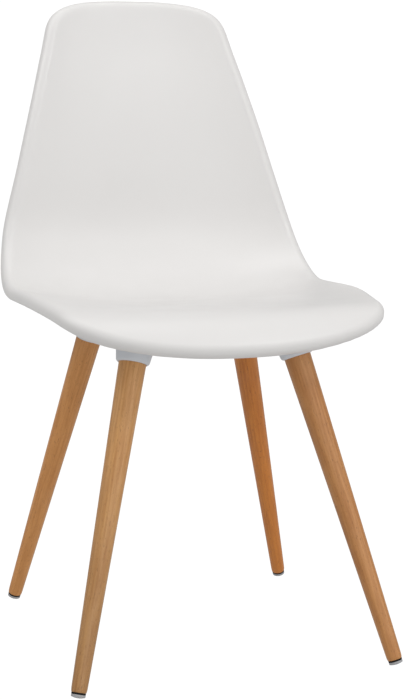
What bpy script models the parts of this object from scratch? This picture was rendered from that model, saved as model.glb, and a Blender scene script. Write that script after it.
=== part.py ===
"""Dining chair: a one-piece moulded plastic shell on four splayed, turned beech legs.

Metres, +Z up, the sitter faces -Y. The origin is on the floor, under the middle of the
whole chair's bounding box. Each leg screws up into a socket under the seat, the sockets
and a steel cross brace are screwed to bosses under the shell, and each foot ends in a
nailed glide. Nothing on the chair moves in use.
"""

import math

import bmesh
import bpy
import numpy as np
from mathutils import Matrix, Vector
from mathutils.bvhtree import BVHTree

GAP = 0.0002  # left between pieces that touch on the real chair
CLEARANCE = 0.0003  # round a bolt in its hole, or an insert in its socket
FINE_CLEARANCE = 0.0002  # round a nail, and between a nut and its bolt
HOLE_END_GAP = 0.001  # between a hole's end and what is in it
OVERSHOOT = 0.01  # how far a cutter goes past what it cuts

# Seat shell. Its centre line runs from the front edge, over the seat and up the back.
# Each stretch of it is an arc: (length along the line, direction at its end in degrees
# from +Y towards +Z).
SHELL_START_Y = -0.255
SHELL_START_Z = 0.41765
SHELL_START_ANGLE = 61.5
SHELL_ARCS = ((0.0775, -3.75), (0.2400, -1.75), (0.1930, 84.0), (0.2145, 73.0), (0.0815, 79.0))
SHELL_THICKNESS = 0.004
# Along the centre line: (place, half width of the shell, lift of its sides).
SHELL_STATIONS = (
    (0.000, 0.1934, -0.0153),
    (0.078, 0.1983, 0.0015),
    (0.210, 0.2118, 0.0169),
    (0.347, 0.2123, 0.0200),
    (0.462, 0.1999, 0.0245),
    (0.576, 0.1708, 0.0210),
    (0.703, 0.1364, 0.0170),
    (0.760, 0.1217, 0.0147),
    (0.807, 0.1141, 0.0125),
)
SIDE_LIFT_POWER = 2.9  # how late the cross-section turns up towards the sides
FRONT_CORNER_LENGTH = 0.092
FRONT_CORNER_POWER = 2.39
TOP_CORNER_LENGTH = 0.0613
TOP_CORNER_POWER = 5.2
TOP_ARCH = 0.0097  # fall of the top edge from its middle to its sides, before the corners
RIM_RADIUS = 0.011  # the edge rolls outwards and away from the sitter
RIM_SKIRT = 0.0060  # straight stretch after the roll
RIM_STEPS = 3
SHELL_ROWS = 32
SHELL_HALF_COLUMNS = 11
COLUMN_POWER = 0.8  # spreads the columns out between the middle and the sides
NORMAL_NUDGE = 0.002  # step over which the shell's slope is measured
CENTRE_LINE_SAMPLES = 120
CENTRE_LINE_EASE = 7  # samples over which one arc blends into the next

FRONT = -1
REAR = 1
SIDES = {"left": 1, "right": -1}
ENDS = {"front": FRONT, "rear": REAR}

# Legs: four alike, the front pair splayed a little more than the rear pair.
LEG_CENTRE_Y = -0.035
FOOT_SPREAD = {FRONT: (0.2041, 0.2167), REAR: (0.2022, 0.2114)}  # half spacings in X and Y
LEG_LEAN = {FRONT: (0.2535, 0.2774), REAR: (0.2411, 0.2487)}  # run in X and Y per unit of rise
LEG_LENGTH = 0.4018  # from the wood's lower end to the socket's rim
LEG_FOOT_RADIUS = 0.00975
LEG_END_RADIUS = 0.0089
LEG_END_ROUNDING = 0.0065  # height over which the foot rounds in to the wood's end
LEG_END_STEPS = 4
LEG_RIM_RADIUS = 0.01725
LEG_SPIGOT = 0.0215  # how far the leg goes on inside its socket
LEG_EDGE = 0.0006  # chamfer at the upper end

# Stack under the shell, from the bosses down.
BOSS_BOTTOM_Z = 0.42635
BRACE_THICKNESS = 0.0025
FLANGE_THICKNESS = 0.005
BRACE_TOP_Z = BOSS_BOTTOM_Z - GAP
FLANGE_TOP_Z = BRACE_TOP_Z - BRACE_THICKNESS - GAP
FLANGE_BOTTOM_Z = FLANGE_TOP_Z - FLANGE_THICKNESS

# Sockets.
SOCKET_BOTTOM_RADIUS = 0.0214
SOCKET_EDGE_RADIUS = 0.0042
SOCKET_FLARE = 9.0  # degrees
SOCKET_HEIGHT = 0.060  # before the flange's top plane cuts it
SOCKET_BORE_RADIUS = LEG_RIM_RADIUS + 0.0004
SOCKET_BORE_DEPTH = 0.022
SOCKET_FLOOR = 0.007  # wall between the leg's bore and the insert's pocket
FLANGE_RADIUS = 0.046
POCKET_RADIUS = 0.0115

# Threaded insert and hanger bolt, on the leg's axis.
INSERT_FLANGE_RADIUS = 0.011
INSERT_FLANGE_THICKNESS = 0.002
INSERT_BARREL_RADIUS = 0.0052
INSERT_RECESS = 0.001  # from the bore's end up to the barrel
BOLT_RADIUS = 0.0039
BOLT_WOOD_LENGTH = 0.040
BOLT_TIP = 0.0008
BOLT_POINT = 0.0024
BOLT_PROUD = 0.003  # what shows above the insert

# Screws through flange and brace into the shell's bosses.
SCREW_CIRCLE_RADIUS = 0.038
SCREW_ANGLES = (0.0, 120.0, 240.0)  # from the direction of the chair's middle
SCREW_SHANK_RADIUS = 0.0020
SCREW_LENGTH = 0.016
SCREW_HEAD_RADIUS = 0.0042
SCREW_HEAD_HEIGHT = 0.0026
SCREW_HEAD_EDGE = 0.001
SCREW_POINT = 0.002
SCREW_HOLE_RADIUS = 0.0023
BOSS_RADIUS = 0.0065
BOSS_ROOT = 0.002  # how far a boss or a ring is sunk into the shell's wall
RING_RADIUS = 0.0455  # moulded ring under the seat, over each socket
RING_WALL = 0.0025

# Cross brace.
BRACE_ARM_WIDTH = 0.036
BRACE_PAD_RADIUS = 0.0455
BRACE_PAD_STEPS = 17
BRACE_RIB_HEIGHT = 0.011
BRACE_RIB_THICKNESS = 0.0025
BRACE_RIB_INSET = 0.001  # from the arm's edge
BRACE_RIB_CLEARANCE = 0.003

# Glides: a rubber cushion, then a domed base, both on the nail that holds them.
CUSHION_THICKNESS = 0.0019
CUSHION_EDGE = 0.0004
GLIDE_RADIUS = 0.0088
GLIDE_WALL = 0.0029
GLIDE_EDGE = 0.0003
GLIDE_DOME = 0.0017
GLIDE_FLAT = 0.00015  # how much of the dome's lowest point is worn flat
NAIL_RADIUS = 0.0011
NAIL_HEAD_RADIUS = 0.0030
NAIL_HEAD_HEIGHT = 0.0008
NAIL_LENGTH = 0.018
NAIL_POINT = 0.003

ROUND = 20  # sides of the larger turned pieces
SMALL_ROUND = 12
HOLE_ROUND = 10
RING_ROUND = 28


def dome_sphere_radius():
    """Radius of the sphere that the glide's dome is a cap of."""
    return (GLIDE_RADIUS**2 + GLIDE_DOME**2) / (2 * GLIDE_DOME)


def glide_stack():
    """Distance along the leg's axis from the wood's end to the dome's apex."""
    return GAP + CUSHION_THICKNESS + GAP + GLIDE_WALL + GLIDE_DOME


def leg_direction(sx, sy):
    """Unit vector up a leg's axis."""
    return Vector((-sx * LEG_LEAN[sy][0], -sy * LEG_LEAN[sy][1], 1.0)).normalized()


def foot_height(up):
    """Height of the wood's lower end, at which the tilted dome's flat is on the floor."""
    sphere = dome_sphere_radius()
    return up.z * (glide_stack() - sphere) + sphere - GLIDE_FLAT


def clear_scene():
    for obj in list(bpy.data.objects):
        bpy.data.objects.remove(obj)


def plain_material(name, colour, roughness, metallic=0.0):
    """A Principled BSDF material with one colour."""
    material = bpy.data.materials.new(name)
    material.use_nodes = True
    shader = material.node_tree.nodes["Principled BSDF"]
    shader.inputs["Base Color"].default_value = (*colour, 1.0)
    shader.inputs["Roughness"].default_value = roughness
    shader.inputs["Metallic"].default_value = metallic
    return material


def object_from(name, mesh_builder, material=None, parent=None, sharp=35.0):
    """A smooth-shaded object from a bmesh, which is used up."""
    mesh = bpy.data.meshes.new(name)
    bmesh.ops.recalc_face_normals(mesh_builder, faces=mesh_builder.faces)
    mesh_builder.to_mesh(mesh)
    mesh_builder.free()
    mesh.shade_smooth()
    mesh.set_sharp_from_angle(angle=math.radians(sharp))
    if material:
        mesh.materials.append(material)
    obj = bpy.data.objects.new(name, mesh)
    obj.parent = parent
    bpy.context.scene.collection.objects.link(obj)
    return obj


def helper_from(name, mesh_builder, parent=None):
    """An object that only cuts or joins others."""
    obj = object_from(name, mesh_builder, parent=parent)
    obj.hide_render = True
    obj.display_type = "WIRE"
    return obj


def boolean(target, other, operation):
    modifier = target.modifiers.new(other.name, "BOOLEAN")
    modifier.operation = operation
    modifier.object = other
    modifier.solver = "EXACT"


def turned(profile, sides):
    """Spins a profile of (radius, height) points about Z. Its ends are on the axis, or it closes."""
    builder = bmesh.new()
    points = [builder.verts.new((radius, 0.0, height)) for radius, height in profile]
    edges = [builder.edges.new(pair) for pair in zip(points, points[1:])]
    if profile[0][0] > 0 and profile[-1][0] > 0:
        edges.append(builder.edges.new((points[-1], points[0])))
    bmesh.ops.spin(
        builder, geom=points + edges, axis=(0, 0, 1), cent=(0, 0, 0), angle=math.tau, steps=sides
    )
    bmesh.ops.remove_doubles(builder, verts=builder.verts, dist=1e-6)
    return builder


def arc(centre, radius, start, end, steps):
    """Points (radius, height) of an arc, its angles in degrees."""
    angles = np.radians(np.linspace(start, end, steps + 1))
    return [(centre[0] + radius * math.cos(a), centre[1] + radius * math.sin(a)) for a in angles]


def flat_top(height):
    """A top for upright_cylinder that is level."""
    return lambda x, y: height


def upright_cylinder(builder, x, y, bottom, tops, radius, sides):
    """Adds a closed cylinder whose upper edge follows the heights that tops gives."""
    angles = np.arange(sides) * math.tau / sides
    ring = [(x + radius * math.cos(a), y + radius * math.sin(a)) for a in angles]
    low = [builder.verts.new((px, py, bottom)) for px, py in ring]
    high = [builder.verts.new((px, py, tops(px, py))) for px, py in ring]
    crown = builder.verts.new((x, y, tops(x, y)))
    builder.faces.new(low[::-1])
    for i in range(sides):
        j = (i + 1) % sides
        builder.faces.new((low[i], low[j], high[j], high[i]))
        builder.faces.new((high[i], high[j], crown))


def upright_ring(builder, x, y, bottom, tops, outer, wall, sides=RING_ROUND):
    """Adds a closed tube whose upper edges follow the heights that tops gives."""
    angles = np.arange(sides) * math.tau / sides
    loops = []
    for radius, low in ((outer, True), (outer, False), (outer - wall, False), (outer - wall, True)):
        ring = [(x + radius * math.cos(a), y + radius * math.sin(a)) for a in angles]
        loops.append([builder.verts.new((px, py, bottom if low else tops(px, py))) for px, py in ring])
    for first, second in zip(loops, loops[1:] + loops[:1]):
        for i in range(sides):
            j = (i + 1) % sides
            builder.faces.new((first[i], first[j], second[j], second[i]))


def extruded(outline, bottom, top):
    """A prism on a flat outline of (x, y) points."""
    builder = bmesh.new()
    face = builder.faces.new([builder.verts.new((x, y, bottom)) for x, y in outline])
    grown = bmesh.ops.extrude_face_region(builder, geom=[face])
    lifted = [item for item in grown["geom"] if isinstance(item, bmesh.types.BMVert)]
    bmesh.ops.translate(builder, verts=lifted, vec=(0, 0, top - bottom))
    return builder


def box_builder(low, high):
    builder = bmesh.new()
    size = Vector(high) - Vector(low)
    middle = (Vector(high) + Vector(low)) / 2
    matrix = Matrix.Translation(middle) @ Matrix.Diagonal((*size, 1.0))
    bmesh.ops.create_cube(builder, size=1.0, matrix=matrix)
    return builder


# Seat shell


def centre_line():
    """Places along the shell's centre line, with Y, Z and direction at each."""
    lengths = [length for length, _ in SHELL_ARCS]
    turns = [SHELL_START_ANGLE] + [end for _, end in SHELL_ARCS]
    knots = np.concatenate([[0.0], np.cumsum(lengths)])
    places = np.linspace(0.0, knots[-1], CENTRE_LINE_SAMPLES)
    angles = np.radians(np.interp(places, knots, turns))
    half = CENTRE_LINE_EASE // 2
    weights = np.full(CENTRE_LINE_EASE, 1.0 / CENTRE_LINE_EASE)
    angles = np.convolve(np.pad(angles, half, mode="edge"), weights, mode="valid")
    step = places[1]
    forward = (np.cos(angles[1:]) + np.cos(angles[:-1])) / 2 * step
    upward = (np.sin(angles[1:]) + np.sin(angles[:-1])) / 2 * step
    y = SHELL_START_Y + np.concatenate([[0.0], np.cumsum(forward)])
    z = SHELL_START_Z + np.concatenate([[0.0], np.cumsum(upward)])
    return places, y, z, angles


def smooth_through(places, values, at):
    """A cubic through the stations that never overshoots them."""
    step = np.diff(places)
    rise = np.diff(values) / step
    slope = np.concatenate([rise[:1], np.zeros(len(rise) - 1), rise[-1:]])
    before = 2 * step[1:] + step[:-1]
    after = step[1:] + 2 * step[:-1]
    same_way = np.flatnonzero(rise[:-1] * rise[1:] > 0)
    for i in same_way:
        slope[i + 1] = (before[i] + after[i]) / (before[i] / rise[i] + after[i] / rise[i + 1])
    i = np.clip(np.searchsorted(places, at, side="right") - 1, 0, len(step) - 1)
    h = step[i]
    t = (at - places[i]) / h
    return (
        (1 + 2 * t) * (1 - t) ** 2 * values[i]
        + t * (1 - t) ** 2 * h * slope[i]
        + t**2 * (3 - 2 * t) * values[i + 1]
        + t**2 * (t - 1) * h * slope[i + 1]
    )


def shell_points(across, along):
    """The sitter's side of the shell. across is -1 to 1 between its sides, along is in metres."""
    places, y, z, angles = centre_line()
    stations = np.array(SHELL_STATIONS)
    width = smooth_through(stations[:, 0], stations[:, 1], along)
    side_lift = smooth_through(stations[:, 0], stations[:, 2], along)
    lift = side_lift * np.abs(across) ** SIDE_LIFT_POWER
    angle = np.interp(along, places, angles)
    return np.stack(
        [
            width * across,
            np.interp(along, places, y) - np.sin(angle) * lift,
            np.interp(along, places, z) + np.cos(angle) * lift,
        ],
        axis=-1,
    )


def unit(vectors):
    return vectors / np.linalg.norm(vectors, axis=-1, keepdims=True)


def shell_normals(across, along):
    """Unit normals towards the sitter."""
    nudge = NORMAL_NUDGE
    sideways = shell_points(across + nudge, along) - shell_points(across - nudge, along)
    onward = shell_points(across, along + nudge) - shell_points(across, along - nudge)
    return unit(np.cross(sideways, onward))


def rounded_end(across, length, power):
    """How far the shell's end falls back at each place across, for rounded corners."""
    return length * (1 - np.clip(1 - np.abs(across) ** power, 0, 1) ** (1 / power))


def shell_grid():
    """Rows of (across, along) that fill the shell's rounded outline."""
    quarter = np.sin(np.linspace(0, math.pi / 2, SHELL_HALF_COLUMNS + 1)) ** COLUMN_POWER
    across = np.concatenate([-quarter[:0:-1], quarter])
    total = SHELL_STATIONS[-1][0]
    front = rounded_end(across, FRONT_CORNER_LENGTH, FRONT_CORNER_POWER)
    arch = TOP_ARCH * across**2
    top = total - arch - rounded_end(across, TOP_CORNER_LENGTH, TOP_CORNER_POWER)
    share = np.linspace(0, 1, SHELL_ROWS + 1)[:, None]
    along = front + (top - front) * share
    return np.broadcast_to(across, along.shape), along


def border(rows):
    """The grid's outermost entries, in order round the outline."""
    return np.concatenate([rows[0, :-1], rows[:-1, -1], rows[-1, :0:-1], rows[:0:-1, 0]])


def rim_section():
    """The rolled edge's cross-section as (outwards, away from the sitter) pairs."""
    outer = [
        (RIM_RADIUS * math.sin(a), RIM_RADIUS * (1 - math.cos(a)))
        for a in np.linspace(0, math.pi / 2, RIM_STEPS + 1)[1:]
    ]
    inside = RIM_RADIUS - SHELL_THICKNESS
    inner = [
        (inside * math.sin(a), RIM_RADIUS - inside * math.cos(a))
        for a in np.linspace(math.pi / 2, 0, RIM_STEPS + 1)[:-1]
    ]
    bottom = RIM_RADIUS + RIM_SKIRT
    return outer + [(RIM_RADIUS, bottom), (inside, bottom)] + inner


def shell_builder():
    """The bare shell: two sheets, joined round the outline by the rolled edge."""
    across, along = shell_grid()
    points = shell_points(across, along)
    normals = shell_normals(across, along)
    builder = bmesh.new()
    sheets = []
    for depth in (0.0, SHELL_THICKNESS):
        placed = (points - normals * depth).reshape(-1, 3)
        sheet = np.array([builder.verts.new(p) for p in placed], dtype=object)
        sheets.append(sheet.reshape(across.shape))
    for sheet in sheets:
        for i in range(sheet.shape[0] - 1):
            for j in range(sheet.shape[1] - 1):
                corners = (sheet[i, j], sheet[i, j + 1], sheet[i + 1, j + 1], sheet[i + 1, j])
                builder.faces.new(corners)
    edge = border(points)
    edge_normals = border(normals)
    tangents = unit(np.roll(edge, -1, axis=0) - np.roll(edge, 1, axis=0))
    outwards = unit(np.cross(tangents, edge_normals))
    rings = [border(sheets[0])]
    for out, back in rim_section():
        ring = edge + outwards * out - edge_normals * back
        rings.append([builder.verts.new(p) for p in ring])
    rings.append(border(sheets[1]))
    for first, second in zip(rings, rings[1:]):
        for i in range(len(first)):
            j = (i + 1) % len(first)
            builder.faces.new((first[i], first[j], second[j], second[i]))
    return builder


def screw_places():
    """(side, end, number, x, y) of every screw."""
    found = []
    for side, sx in SIDES.items():
        for end, sy in ENDS.items():
            middle = pad_centre(sx, sy)
            inward = math.atan2(LEG_CENTRE_Y - middle.y, -middle.x)
            for number, turn in enumerate(SCREW_ANGLES, start=1):
                angle = inward + math.radians(turn)
                x = middle.x + SCREW_CIRCLE_RADIUS * math.cos(angle)
                y = middle.y + SCREW_CIRCLE_RADIUS * math.sin(angle)
                found.append((side, end, number, x, y))
    return found


def make_shell(material):
    """The shell with its bosses, each with a blind hole for a screw."""
    bare = shell_builder()
    tree = BVHTree.FromBMesh(bare)

    def underside(x, y):
        return tree.ray_cast(Vector((x, y, 0.0)), Vector((0, 0, 1)))[0].z

    def inside_wall(x, y):
        return underside(x, y) + BOSS_ROOT

    shell = object_from("seat_shell", bare, material, sharp=50.0)
    bosses = bmesh.new()
    holes = bmesh.new()
    for *_, x, y in screw_places():
        upright_cylinder(bosses, x, y, BOSS_BOTTOM_Z, inside_wall, BOSS_RADIUS, SMALL_ROUND)
        level = flat_top(underside(x, y) + BOSS_ROOT / 4)
        upright_cylinder(
            holes, x, y, BOSS_BOTTOM_Z - OVERSHOOT, level, SCREW_HOLE_RADIUS, HOLE_ROUND
        )
    rings = bmesh.new()
    for sx in SIDES.values():
        for sy in ENDS.values():
            middle = pad_centre(sx, sy)
            upright_ring(
                rings, middle.x, middle.y, BOSS_BOTTOM_Z, inside_wall, RING_RADIUS, RING_WALL
            )
    boolean(shell, helper_from("ring_bodies", rings), "UNION")
    boolean(shell, helper_from("boss_bodies", bosses), "UNION")
    boolean(shell, helper_from("boss_holes", holes), "DIFFERENCE")


# Legs, sockets and what is on each leg's axis


def foot_centre(sx, sy):
    """Middle of the wood's lower end."""
    spread_x, spread_y = FOOT_SPREAD[sy]
    height = foot_height(leg_direction(sx, sy))
    return Vector((sx * spread_x, LEG_CENTRE_Y + sy * spread_y, height))


def leg_matrix(sx, sy):
    """Frame on a leg's axis: origin at the socket's rim, +Z up the leg."""
    up = leg_direction(sx, sy)
    sideways = up.cross(Vector((0, 0, 1))).normalized()
    turn = Matrix((sideways, up.cross(sideways), up)).transposed()
    return Matrix.Translation(foot_centre(sx, sy) + up * LEG_LENGTH) @ turn.to_4x4()


def pad_centre(sx, sy):
    """Where a leg's axis crosses the plane of the socket flanges' tops."""
    foot = foot_centre(sx, sy)
    up = leg_direction(sx, sy)
    return foot + up * ((FLANGE_TOP_Z - foot.z) / up.z)


def leg_axis(name, sx, sy):
    """An empty that everything on one leg's axis is parented to."""
    empty = bpy.data.objects.new(name, None)
    empty.matrix_world = leg_matrix(sx, sy)
    bpy.context.scene.collection.objects.link(empty)
    return empty


def leg_profile():
    """A straight taper that rounds in over its last few millimetres, bored for bolt and nail."""
    bolt_hole = BOLT_RADIUS + CLEARANCE
    nail_hole = NAIL_RADIUS + FINE_CLEARANCE
    depth = LEG_FOOT_RADIUS - LEG_END_RADIUS
    rounding = [
        (
            LEG_FOOT_RADIUS - depth * (1 - math.cos(turn)),
            -LEG_LENGTH + LEG_END_ROUNDING * (1 - math.sin(turn)),
        )
        for turn in np.linspace(0, math.pi / 2, LEG_END_STEPS + 1)
    ]
    return [
        (0, -BOLT_WOOD_LENGTH - HOLE_END_GAP),
        (bolt_hole, -BOLT_WOOD_LENGTH - HOLE_END_GAP),
        (bolt_hole, LEG_SPIGOT),
        (LEG_RIM_RADIUS - LEG_EDGE, LEG_SPIGOT),
        (LEG_RIM_RADIUS, LEG_SPIGOT - LEG_EDGE),
        (LEG_RIM_RADIUS, 0),
        *rounding,
        (nail_hole, -LEG_LENGTH),
        (nail_hole, -LEG_LENGTH + NAIL_LENGTH),
        (0, -LEG_LENGTH + NAIL_LENGTH),
    ]


def socket_profile():
    """Outside of the socket, a solid cone that flares upwards from a rounded lower edge."""
    flare = math.radians(SOCKET_FLARE)
    edge = arc(
        (SOCKET_BOTTOM_RADIUS - SOCKET_EDGE_RADIUS, SOCKET_EDGE_RADIUS),
        SOCKET_EDGE_RADIUS,
        -90,
        -SOCKET_FLARE,
        4,
    )
    start_radius, start_height = edge[-1]
    top_radius = start_radius + (SOCKET_HEIGHT - start_height) * math.tan(flare)
    return [(0, 0)] + edge + [(top_radius, SOCKET_HEIGHT), (0, SOCKET_HEIGHT)]


def socket_bore_profile():
    """What is cut from the socket: the leg's bore, the insert's hole and its pocket."""
    pocket = SOCKET_BORE_DEPTH + SOCKET_FLOOR
    barrel = INSERT_BARREL_RADIUS + CLEARANCE
    return [
        (0, -OVERSHOOT),
        (SOCKET_BORE_RADIUS, -OVERSHOOT),
        (SOCKET_BORE_RADIUS, SOCKET_BORE_DEPTH),
        (barrel, SOCKET_BORE_DEPTH),
        (barrel, pocket),
        (POCKET_RADIUS, pocket),
        (POCKET_RADIUS, SOCKET_HEIGHT + OVERSHOOT),
        (0, SOCKET_HEIGHT + OVERSHOOT),
    ]


def insert_profile():
    """A flanged nut: its barrel sits in the socket's floor, its flange in the pocket."""
    seat = SOCKET_BORE_DEPTH + SOCKET_FLOOR + GAP
    thread = BOLT_RADIUS + FINE_CLEARANCE
    return [
        (thread, seat + INSERT_FLANGE_THICKNESS),
        (thread, SOCKET_BORE_DEPTH + INSERT_RECESS),
        (INSERT_BARREL_RADIUS, SOCKET_BORE_DEPTH + INSERT_RECESS),
        (INSERT_BARREL_RADIUS, seat),
        (INSERT_FLANGE_RADIUS, seat),
        (INSERT_FLANGE_RADIUS, seat + INSERT_FLANGE_THICKNESS),
    ]


def bolt_profile():
    """Hanger bolt: wood thread below, machine thread above, both ends chamfered."""
    low = -BOLT_WOOD_LENGTH
    high = SOCKET_BORE_DEPTH + SOCKET_FLOOR + INSERT_FLANGE_THICKNESS + BOLT_PROUD
    return [
        (0, low),
        (BOLT_RADIUS / 2, low),
        (BOLT_RADIUS, low + BOLT_POINT),
        (BOLT_RADIUS, high - BOLT_TIP),
        (BOLT_RADIUS - BOLT_TIP, high),
        (0, high),
    ]


def cushion_profile():
    top = -LEG_LENGTH - GAP
    bottom = top - CUSHION_THICKNESS
    hole = NAIL_RADIUS + FINE_CLEARANCE
    return [
        (hole, top),
        (hole, bottom),
        (LEG_END_RADIUS - CUSHION_EDGE, bottom),
        (LEG_END_RADIUS, bottom + CUSHION_EDGE),
        (LEG_END_RADIUS, top - CUSHION_EDGE),
        (LEG_END_RADIUS - CUSHION_EDGE, top),
    ]


def glide_top():
    """Height of the glide base's upper face on the leg's axis."""
    return -LEG_LENGTH - GAP - CUSHION_THICKNESS - GAP


def glide_base_profile():
    """Domed base, with a blind pocket above for the nail's head."""
    top = glide_top()
    sphere = dome_sphere_radius()
    apex = top - GLIDE_WALL - GLIDE_DOME
    half_angle = math.degrees(math.asin(GLIDE_RADIUS / sphere))
    dome = arc((0, apex + sphere), sphere, -90, -90 + half_angle, 4)
    pocket = NAIL_HEAD_RADIUS + FINE_CLEARANCE
    pocket_floor = top - NAIL_HEAD_HEIGHT - 2 * FINE_CLEARANCE
    wall = [(GLIDE_RADIUS, top - GLIDE_EDGE), (GLIDE_RADIUS - GLIDE_EDGE, top), (pocket, top)]
    return [(0, apex)] + dome[1:] + wall + [(pocket, pocket_floor), (0, pocket_floor)]


def nail_profile():
    """Nail: its head is moulded into the glide, its shank runs up into the leg."""
    head_top = glide_top() - FINE_CLEARANCE
    head_bottom = head_top - NAIL_HEAD_HEIGHT
    tip = -LEG_LENGTH + NAIL_LENGTH - HOLE_END_GAP
    return [
        (0, head_bottom),
        (NAIL_HEAD_RADIUS, head_bottom),
        (NAIL_HEAD_RADIUS, head_top),
        (NAIL_RADIUS, head_top),
        (NAIL_RADIUS, tip - NAIL_POINT),
        (0, tip),
    ]


def make_socket(corner, axis, sx, sy, material):
    """Cone, flange, top plane, bores and screw holes of one socket."""
    socket = object_from(
        f"leg_socket_{corner}", turned(socket_profile(), ROUND), material, axis, sharp=40.0
    )
    middle = pad_centre(sx, sy)
    flange = bmesh.new()
    above = flat_top(FLANGE_TOP_Z + OVERSHOOT)
    upright_cylinder(
        flange, middle.x, middle.y, FLANGE_BOTTOM_Z, above, FLANGE_RADIUS, RING_ROUND
    )
    holes = bmesh.new()
    below = FLANGE_BOTTOM_Z - OVERSHOOT
    for side, end, _, x, y in screw_places():
        if f"{end}_{side}" == corner:
            upright_cylinder(holes, x, y, below, above, SCREW_HOLE_RADIUS, HOLE_ROUND)
    reach = FLANGE_RADIUS * 2
    slab = box_builder(
        (middle.x - reach, middle.y - reach, FLANGE_TOP_Z),
        (middle.x + reach, middle.y + reach, FLANGE_TOP_Z + SOCKET_HEIGHT),
    )
    boolean(socket, helper_from(f"flange_{corner}", flange), "UNION")
    boolean(socket, helper_from(f"above_{corner}", slab), "DIFFERENCE")
    bore = turned(socket_bore_profile(), ROUND)
    boolean(socket, helper_from(f"bore_{corner}", bore, axis), "DIFFERENCE")
    boolean(socket, helper_from(f"screw_holes_{corner}", holes), "DIFFERENCE")


def make_leg_group(end, side, materials):
    """One leg with its socket, insert, bolt and glide."""
    corner = f"{end}_{side}"
    sx, sy = SIDES[side], ENDS[end]
    axis = leg_axis(f"leg_axis_{corner}", sx, sy)
    make_socket(corner, axis, sx, sy, materials["socket"])
    pieces = (
        ("leg", leg_profile(), ROUND, "beech"),
        ("threaded_insert", insert_profile(), SMALL_ROUND, "zinc_steel"),
        ("hanger_bolt", bolt_profile(), SMALL_ROUND, "zinc_steel"),
        ("glide_cushion", cushion_profile(), ROUND, "black_rubber"),
        ("glide_base", glide_base_profile(), ROUND, "grey_plastic"),
        ("glide_nail", nail_profile(), SMALL_ROUND, "zinc_steel"),
    )
    for name, profile, sides, finish in pieces:
        piece = object_from(f"{name}_{corner}", turned(profile, sides), materials[finish], axis)
        if name == "glide_base":
            floor = helper_from(f"floor_{corner}", floor_builder(sx, sy))
            boolean(piece, floor, "DIFFERENCE")


def floor_builder(sx, sy):
    """A block just under the floor plane, below one foot."""
    x, y, _ = foot_centre(sx, sy)
    reach = 3 * LEG_FOOT_RADIUS
    return box_builder((x - reach, y - reach, -reach), (x + reach, y + reach, 0.0))


# Cross brace and screws


def brace_corner(sx, sy, other_sx, other_sy):
    """Where the near edges of two neighbouring brace arms meet, and the two arms' directions."""
    first = (pad_centre(sx, sy).xy - Vector((0, LEG_CENTRE_Y))).normalized()
    second = (pad_centre(other_sx, other_sy).xy - Vector((0, LEG_CENTRE_Y))).normalized()
    between = (first + second).normalized()
    reach = BRACE_ARM_WIDTH / 2 / math.sin(first.angle(second) / 2)
    return Vector((0, LEG_CENTRE_Y)) + between * reach, first, second


def brace_outline():
    """Outline of the X: a round pad at each end, a sharp corner between two arms."""
    outline = []
    corners = ((1, 1), (-1, 1), (-1, -1), (1, -1))
    half_gap = math.asin(BRACE_ARM_WIDTH / 2 / BRACE_PAD_RADIUS)
    for (sx, sy), following in zip(corners, corners[1:] + corners[:1]):
        pad = pad_centre(sx, sy)
        outward = math.atan2(pad.y - LEG_CENTRE_Y, pad.x)
        for a in np.linspace(half_gap - math.pi, math.pi - half_gap, BRACE_PAD_STEPS):
            x = pad.x + BRACE_PAD_RADIUS * math.cos(outward + a)
            y = pad.y + BRACE_PAD_RADIUS * math.sin(outward + a)
            outline.append((x, y))
        outline.append(tuple(brace_corner(sx, sy, *following)[0]))
    return outline


def brace_rib_outline(sx, sy, other_sx, other_sy):
    """Outline of the V-shaped stiffening rib along two neighbouring arms' near edges."""
    tip, first, second = brace_corner(sx, sy, other_sx, other_sy)
    middle = Vector((0, LEG_CENTRE_Y))
    inward = (middle - tip).normalized() / math.sin(first.angle(second) / 2)
    tip = tip + inward * BRACE_RIB_INSET
    inset = inward * BRACE_RIB_THICKNESS
    ends = []
    for pad, direction in ((pad_centre(sx, sy), first), (pad_centre(other_sx, other_sy), second)):
        reach = (pad.xy - middle).length - FLANGE_RADIUS - BRACE_RIB_CLEARANCE
        outer = tip + direction * (reach - (tip - middle).dot(direction))
        ends.append((outer, outer + inset - direction * inset.dot(direction)))
    outline = [ends[0][0], tip, ends[1][0], ends[1][1], tip + inset, ends[0][1]]
    return [tuple(point) for point in outline]


def make_brace(material):
    """Pressed steel X between the bosses and the sockets' flanges."""
    bottom = BRACE_TOP_Z - BRACE_THICKNESS
    brace = object_from(
        "cross_brace", extruded(brace_outline(), bottom, BRACE_TOP_Z), material, sharp=30.0
    )
    corners = ((1, 1), (-1, 1), (-1, -1), (1, -1))
    for index, (corner, following) in enumerate(zip(corners, corners[1:] + corners[:1])):
        outline = brace_rib_outline(*corner, *following)
        rib = extruded(outline, BRACE_TOP_Z - BRACE_RIB_HEIGHT, bottom + BRACE_THICKNESS / 2)
        boolean(brace, helper_from(f"brace_rib_{index}", rib), "UNION")
    holes = bmesh.new()
    above = flat_top(BRACE_TOP_Z + OVERSHOOT)
    for *_, x, y in screw_places():
        upright_cylinder(holes, x, y, bottom - OVERSHOOT, above, SCREW_HOLE_RADIUS, HOLE_ROUND)
    boolean(brace, helper_from("brace_holes", holes), "DIFFERENCE")


def screw_profile():
    """Pan-head screw pointing up, its head's upper face at height 0."""
    crown = arc((0, SCREW_HEAD_RADIUS - SCREW_HEAD_HEIGHT), SCREW_HEAD_RADIUS, -90, -50, 2)
    return (
        [(0, crown[0][1])]
        + crown[1:]
        + [
            (SCREW_HEAD_RADIUS, -SCREW_HEAD_EDGE),
            (SCREW_HEAD_RADIUS, 0),
            (SCREW_SHANK_RADIUS, 0),
            (SCREW_SHANK_RADIUS, SCREW_LENGTH - SCREW_POINT),
            (0, SCREW_LENGTH),
        ]
    )


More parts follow.
